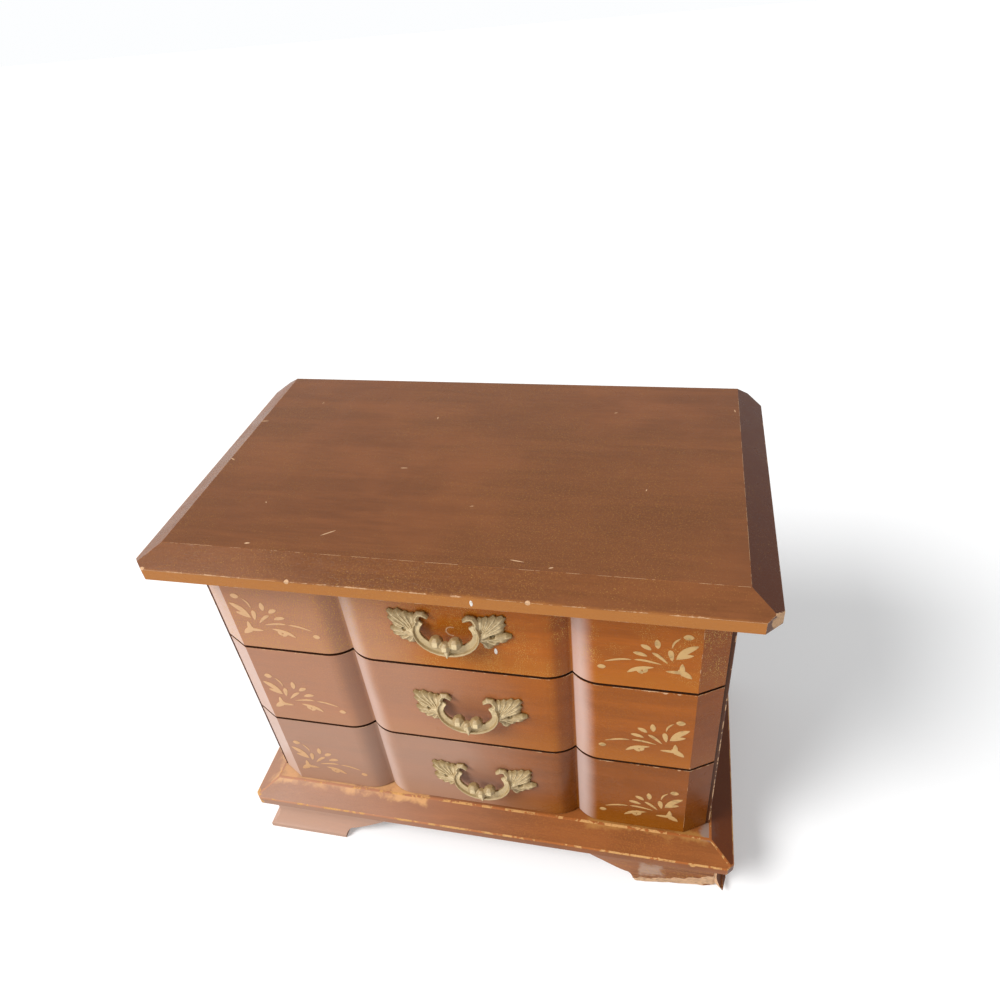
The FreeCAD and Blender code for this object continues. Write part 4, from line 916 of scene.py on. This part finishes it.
class BOX_OT_sprigs(bpy.types.Operator):
    """Painted gold sprig on the outer blocks of each tier"""

    bl_idname = "box.sprigs"
    bl_label = "Gold sprigs"

    def execute(self, context):
        gilt = gold_paint("gold_paint")
        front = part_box("false_drawer_front")[0][1]
        for node, body, *_ in TIERS:
            low = height_of(node)[0]
            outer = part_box(node)[1][0]
            for side in (-1, 1):
                shape = bmesh.new()
                for start, end, width, belly, bend in PETALS:
                    ends = []
                    for x, z in (start, end):
                        ends.append(Vector((side * (outer + x * MM), front - LIFT, low + z * MM)))
                    if side < 0:
                        # mirrored, and turned round so that it bows to the same side
                        ends.reverse()
                        belly = 1 - belly
                    out = Vector((0, -1, 0))
                    sliver(shape, *ends, out, width * MM, sizes().gilt_thick, belly, bend * MM)
                hand = "right" if side > 0 else "left"
                piece = finished(f"{hand}_sprig_of_{node}", shape, body, [gilt])
        return {"FINISHED"}


PALE_LEFT_GILT = (0.68, 0.39, 0.21)


def gold_paint(name):
    """Thin gold paint, rubbed in places and paler towards the left."""
    finish = Finish(name)
    gilt = colours().gilt
    rub = finish.noise(finish.place, 240.0, detail=4.0, rough=0.6, warp=0.4)
    fibre = finish.noise(finish.stretched(fibres("X", 6)), 300.0, detail=3.0)
    tone = finish.blend(finish.step(rub, 0.50, 0.72), gilt, shade(gilt, 0.6))
    tone = finish.blend(finish.step(fibre, 0.5, 0.8) * 0.5, tone, shade(gilt, 1.3))
    # the sprigs on the left are paler
    left = finish.step(finish.axes()[0], 0.02, -0.06)
    tone = finish.blend(left * 0.65, tone, PALE_LEFT_GILT)
    finish.bump(rub + fibre * 0.5, 0.00003)
    finish.set(Base_Color=tone, Metallic=0.35, Roughness=finish.step(rub, 0.3, 0.7) * 0.15 + 0.38)
    return finish.material


# Metal

class BOX_OT_pulls(bpy.types.Operator):
    """Cast leaf pulls and their nails"""

    bl_idname = "box.pulls"
    bl_label = "Pulls"

    def execute(self, context):
        brass = colours().brass
        cast = cast_brass("antique_brass", brass)
        head = metal("nail_brass", shade(brass, 0.5), shade(brass, 0.15), 0.45)
        for tier, body in (("false_front", "case"), ("middle", "middle_drawer"), ("bottom", "bottom_drawer")):
            cast_copy(f"{tier}_pull", body, cast)
            paint(f"{tier}_pull_nails", head)
        return {"FINISHED"}


def cast_copy(node, body, material):
    """Copy of a pull with the soft edges and hollows of a casting."""
    shape = solid_copy(node)
    for face in shape.faces:
        face.material_index = 0
    piece = finished(f"{node}_cast", shape, body, [material], smooth=180.0)
    cast = piece.modifiers.new("cast skin", "REMESH")
    cast.mode = "VOXEL"
    cast.voxel_size = sizes().cast_grain
    cast.use_smooth_shade = True
    soft = piece.modifiers.new("soft edges", "SMOOTH")
    soft.factor = 0.5
    soft.iterations = 2
    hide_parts(node)


# how far in front of the wood, in metres: hollows, rubbed places, and where the buds begin and end
HOLLOWS = 0.0003
RUBBED = 0.0021
BUDS_FROM = (0.0034, 0.0042)
BUDS_TO = (0.0070, 0.0078)


def cast_brass(name, brass):
    """Antique brass: dark patina in the low places, rubbed bright where it stands proud, and painted shade on
    the flanks that turn away from the front.
    """
    finish = Finish(name)
    y = finish.axes()[1]
    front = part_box("false_drawer_front")[0][1]
    stain = finish.noise(finish.place, 420.0, detail=4.0, rough=0.6, warp=0.5)
    fine = finish.noise(finish.place, 2600.0, detail=3.0, rough=0.6)
    out = finish.normals()[1]
    proud = finish.step(y + stain * 0.0009, front - HOLLOWS, front - RUBBED)
    # painted shade: flanks that turn away from the front are darkened towards the patina and made less
    # metallic
    flank_shade = finish.step(out + (stain - 0.5) * 0.2, -0.985, -0.76)
    patina = tinted(brass, 0.30, 0.23, 0.11)
    tone = finish.blend(proud, patina, brass)
    tone = finish.blend(flank_shade * 0.68, tone, patina)
    near = finish.step(y, front - BUDS_FROM[0], front - BUDS_FROM[1])
    buds = near * finish.step(y, front - BUDS_TO[1], front - BUDS_TO[0])
    tone = finish.blend(buds * 0.45, tone, tinted(brass, 0.45, 0.38, 0.26))
    tone = finish.blend(finish.step(stain, 0.50, 0.70) * 0.5, tone, shade(brass, 0.50))
    tone = finish.blend(finish.step(fine, 0.58, 0.75) * 0.4, tone, shade(brass, 1.35))
    finish.bump(stain * 0.6 + fine * 0.4, 0.00009)
    finish.set(
        Base_Color=tone, Metallic=0.30 - flank_shade * 0.2, Roughness=finish.step(stain, 0.35, 0.7) * 0.16 + 0.40
    )
    return finish.material


class BOX_OT_hinges(bpy.types.Operator):
    """Hinge leaves, pins and screws"""

    bl_idname = "box.hinges"
    bl_label = "Hinges"

    def execute(self, context):
        brass = metal("hinge_brass", (0.52, 0.40, 0.19), (0.22, 0.15, 0.07), 0.3)
        steel = metal("screw_steel", (0.5, 0.49, 0.46), (0.2, 0.18, 0.16), 0.3)
        for side in ("left", "right"):
            paint(f"{side}_hinge_case_leaf", brass)
            paint(f"{side}_hinge_lid_leaf", brass)
        for node in ("hinge_pins", "case_hinge_screws", "lid_hinge_screws"):
            paint(node, steel)
        return {"FINISHED"}


class BOX_OT_movement(bpy.types.Operator):
    """Wind-up movement, its cover and the key"""

    bl_idname = "box.movement"
    bl_label = "Movement"

    def execute(self, context):
        brass = metal("movement_brass", (0.60, 0.46, 0.20), (0.30, 0.21, 0.09), 0.28)
        steel = metal("movement_steel", (0.50, 0.51, 0.53), (0.24, 0.24, 0.25), 0.24)
        nickel = metal("movement_nickel", (0.62, 0.60, 0.55), (0.36, 0.34, 0.30), 0.2)
        groups = (
            (brass, ("movement_bedplate", "spring_barrel", "governor_cock", "winding_key")),
            (steel, ("mainspring", "tone_comb", "comb_screws", "movement_screws")),
            (steel, ("winding_arbor", "stop_rod")),
            (nickel, ("music_cylinder", "air_brake_fly")),
        )
        for material, nodes in groups:
            for node in nodes:
                paint(node, material)
        cover = Finish("cover_card")
        weave = cover.noise(cover.place, 700.0, detail=3.0)
        fading = cover.noise(cover.place, 50.0, detail=3.0)
        tone = cover.blend(cover.step(fading, 0.4, 0.7), (0.05, 0.012, 0.014), (0.09, 0.025, 0.026))
        cover.bump(weave, 0.0001)
        cover.set(Base_Color=tone, Roughness=cover.step(weave, 0.3, 0.7) * 0.2 + 0.45)
        paint("movement_cover", cover.material)
        return {"FINISHED"}


# Velvet and mirror

class BOX_OT_linings(bpy.types.Operator):
    """Flocked linings and the rolls that hold rings"""

    bl_idname = "box.linings"
    bl_label = "Linings"

    def execute(self, context):
        pile = velvet("velvet_pile", colours().velvet)
        for node in ("middle_drawer_lining", "bottom_drawer_lining", "compartment_lining", "lid_lining"):
            paint(node, pile)
        ring_rolls(pile)
        return {"FINISHED"}


# number of rolls, rounding of their ends as a share of their width, and height and rounding of the pad
ROLLS = 4
ROLL_ROUND = 0.28
PAD_SHARE = 0.45
PAD_ROUND = 0.0012


def ring_rolls(pile):
    """Soft rolls side by side on a pad, rounded at their ends."""
    low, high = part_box("ring_cushion")
    pitch = (high[1] - low[1]) / ROLLS
    lying = Matrix.Rotation(math.pi / 2, 3, "Y")
    shape = bmesh.new()
    for number in range(ROLLS):
        made = bmesh.ops.create_cone(
            shape, cap_ends=True, segments=20, radius1=pitch / 2, radius2=pitch / 2, depth=high[0] - low[0]
        )
        bmesh.ops.rotate(shape, verts=made["verts"], cent=(0, 0, 0), matrix=lying)
        middle = Vector(((low[0] + high[0]) / 2, low[1] + pitch * (number + 0.5), high[2] - pitch / 2))
        bmesh.ops.translate(shape, verts=made["verts"], vec=middle)
        ends = [edge for edge in edges_of(made["verts"]) if edge.calc_face_angle(0.0) > math.radians(60)]
        bevel(shape, ends, pitch * ROLL_ROUND, 4)
    bottom = bmesh.ops.create_cube(shape, size=1.0)
    scale = (high[0] - low[0], high[1] - low[1], (high[2] - low[2]) * PAD_SHARE)
    bmesh.ops.scale(shape, verts=bottom["verts"], vec=scale)
    centre = Vector(((low[0] + high[0]) / 2, (low[1] + high[1]) / 2, low[2] + scale[2] / 2))
    bmesh.ops.translate(shape, verts=bottom["verts"], vec=centre)
    bevel(shape, edges_of(bottom["verts"]), PAD_ROUND, 3)
    piece = finished("ring_rolls", shape, "case", [pile], smooth=60.0)
    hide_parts("ring_cushion")


FRAME_ROUND = 0.0006


class BOX_OT_mirror(bpy.types.Operator):
    """Mirror and its gilt frame inside the lid"""

    bl_idname = "box.mirror"
    bl_label = "Mirror"

    def execute(self, context):
        glass = Finish("mirror_glass")
        dust = glass.noise(glass.place, 900.0, detail=3.0)
        spots = glass.noise(glass.place, 70.0, detail=4.0)
        tone = glass.blend(glass.step(spots, 0.66, 0.78) * 0.5, (0.86, 0.88, 0.88), (0.4, 0.4, 0.38))
        glass.set(Base_Color=tone, Metallic=1.0, Roughness=glass.step(dust, 0.55, 0.8) * 0.06 + 0.02)
        paint("mirror", glass.material)
        gilt = metal("gilt_frame", (0.55, 0.40, 0.16), (0.25, 0.17, 0.07), 0.3)
        rounded_copy("mirror_frame", "lid", [gilt, gilt], FRAME_ROUND)
        return {"FINISHED"}


# Studio

# the fitted camera: focal length in millimetres, place in metres, and its own three directions
LENS = 27.22
CAMERA_PLACE = (0.09078, -0.28620, 0.42725)
CAMERA_RIGHT = (0.97507, 0.20320, -0.08916)
CAMERA_UP = (-0.05549, 0.61233, 0.78865)
CAMERA_AHEAD = (-0.21485, 0.76405, -0.60834)

FLOOR_HALF = 4.0
# light that the floor adds for the camera and in mirrors, and the strength of the surroundings without them
FLOOR_GLOW = 0.22
DIM_WORLD = 0.50


class BOX_OT_studio(bpy.types.Operator):
    """Pale floor, soft lamps and the photograph's camera"""

    bl_idname = "box.studio"
    bl_label = "Studio"

    def execute(self, context):
        floor()
        world()
        sun("window_light", (-0.62, -0.50, 0.75), spread=26.0, power=2.5)
        lamp("window_glare", (-0.62, -0.48, 0.92), size=0.5, power=3.0)
        camera()
        context.scene.view_settings.view_transform = "Standard"
        return {"FINISHED"}


def floor():
    """Pale floor that looks white to the camera outside the shadow."""
    shape = bmesh.new()
    bmesh.ops.create_grid(shape, x_segments=1, y_segments=1, size=FLOOR_HALF)
    mesh = bpy.data.meshes.new("floor")
    shape.to_mesh(mesh)
    shape.free()
    plane = linked("floor", mesh)
    finish = Finish("pale_floor")
    mist = finish.noise(finish.place, 3.0, detail=2.0)
    tone = finish.blend(mist, (0.80, 0.80, 0.80), (0.82, 0.82, 0.82))
    finish.set(Base_Color=tone, Roughness=0.9, Specular_IOR_Level=0.0)
    path = finish.add("ShaderNodeLightPath").outputs
    kinds = ("Is Camera Ray", "Is Glossy Ray", "Is Transmission Ray")
    seen = finish.highest(*[Wire(finish, path[kind]) for kind in kinds])
    finish.set(Emission_Color=finish.blend(seen, (0, 0, 0), (FLOOR_GLOW,) * 3), Emission_Strength=1.0)
    mesh.materials.append(finish.material)


def world():
    scene = bpy.context.scene
    scene.world = bpy.data.worlds.new("pale_studio")
    scene.world.use_nodes = True
    tree = scene.world.node_tree
    tree.nodes.clear()
    path = tree.nodes.new("ShaderNodeLightPath")
    seen = path.outputs["Is Camera Ray"]
    for kind in ("Is Glossy Ray", "Is Transmission Ray"):
        either = tree.nodes.new("ShaderNodeMath")
        either.operation = "MAXIMUM"
        tree.links.new(seen, either.inputs[0])
        tree.links.new(path.outputs[kind], either.inputs[1])
        seen = either.outputs[0]
    strength = tree.nodes.new("ShaderNodeMapRange")
    strength.inputs["To Min"].default_value = DIM_WORLD
    strength.inputs["To Max"].default_value = 1.0
    tree.links.new(seen, strength.inputs["Value"])
    back = tree.nodes.new("ShaderNodeBackground")
    back.inputs["Color"].default_value = (0.98, 0.99, 1.0, 1.0)
    tree.links.new(strength.outputs["Result"], back.inputs["Strength"])
    output = tree.nodes.new("ShaderNodeOutputWorld")
    tree.links.new(back.outputs[0], output.inputs["Surface"])


def lamp(name, spot, size, power):
    """Square soft lamp that points at the middle of the box."""
    light = bpy.data.lights.new(name, "AREA")
    light.size = size
    light.energy = power
    hang(light, spot, (0, 0, 0.11))


def sun(name, spot, spread, power):
    """Even light from the direction of a spot; spread softens its shadows, in degrees."""
    light = bpy.data.lights.new(name, "SUN")
    light.angle = math.radians(spread)
    light.energy = power
    hang(light, spot, (0, 0, 0))


def hang(light, spot, aim):
    """Puts a light at a spot and points it at its aim."""
    holder = linked(light.name, light)
    holder.location = spot
    holder.rotation_euler = (Vector(aim) - Vector(spot)).to_track_quat("-Z", "Y").to_euler()


def camera():
    view = bpy.data.cameras.new("camera")
    view.sensor_width = 36.0
    view.lens = LENS
    holder = linked("camera", view)
    turn = Matrix((CAMERA_RIGHT, CAMERA_UP, -Vector(CAMERA_AHEAD))).transposed().to_4x4()
    turn.translation = CAMERA_PLACE
    holder.matrix_world = turn
    bpy.context.scene.camera = holder


STEPS = (
    BOX_OT_lid, BOX_OT_fronts, BOX_OT_case, BOX_OT_base, BOX_OT_sprigs, BOX_OT_pulls, BOX_OT_hinges,
    BOX_OT_movement, BOX_OT_linings, BOX_OT_mirror, BOX_OT_studio,
)


class BOX_PT_panel(bpy.types.Panel):
    bl_label = "Jewelry Box"
    bl_idname = "BOX_PT_panel"
    bl_space_type = "VIEW_3D"
    bl_region_type = "UI"
    bl_category = "Jewelry Box"

    def draw(self, context):
        for step in STEPS:
            self.layout.operator(step.bl_idname)
        for group in (context.scene.box_sizes, context.scene.box_colours):
            for name in group.__annotations__:
                self.layout.prop(group, name)


CLASSES = (BoxSizes, BoxColours, *STEPS, BOX_PT_panel)


def register():
    for item in CLASSES:
        bpy.utils.register_class(item)
    bpy.types.Scene.box_sizes = bpy.props.PointerProperty(type=BoxSizes)
    bpy.types.Scene.box_colours = bpy.props.PointerProperty(type=BoxColours)


def unregister():
    del bpy.types.Scene.box_colours
    del bpy.types.Scene.box_sizes
    for item in reversed(CLASSES):
        bpy.utils.unregister_class(item)


def main():
    register()
    for step in STEPS:
        group, name = step.bl_idname.split(".")
        getattr(getattr(bpy.ops, group), name)()


if __name__ == "__main__":
    main()
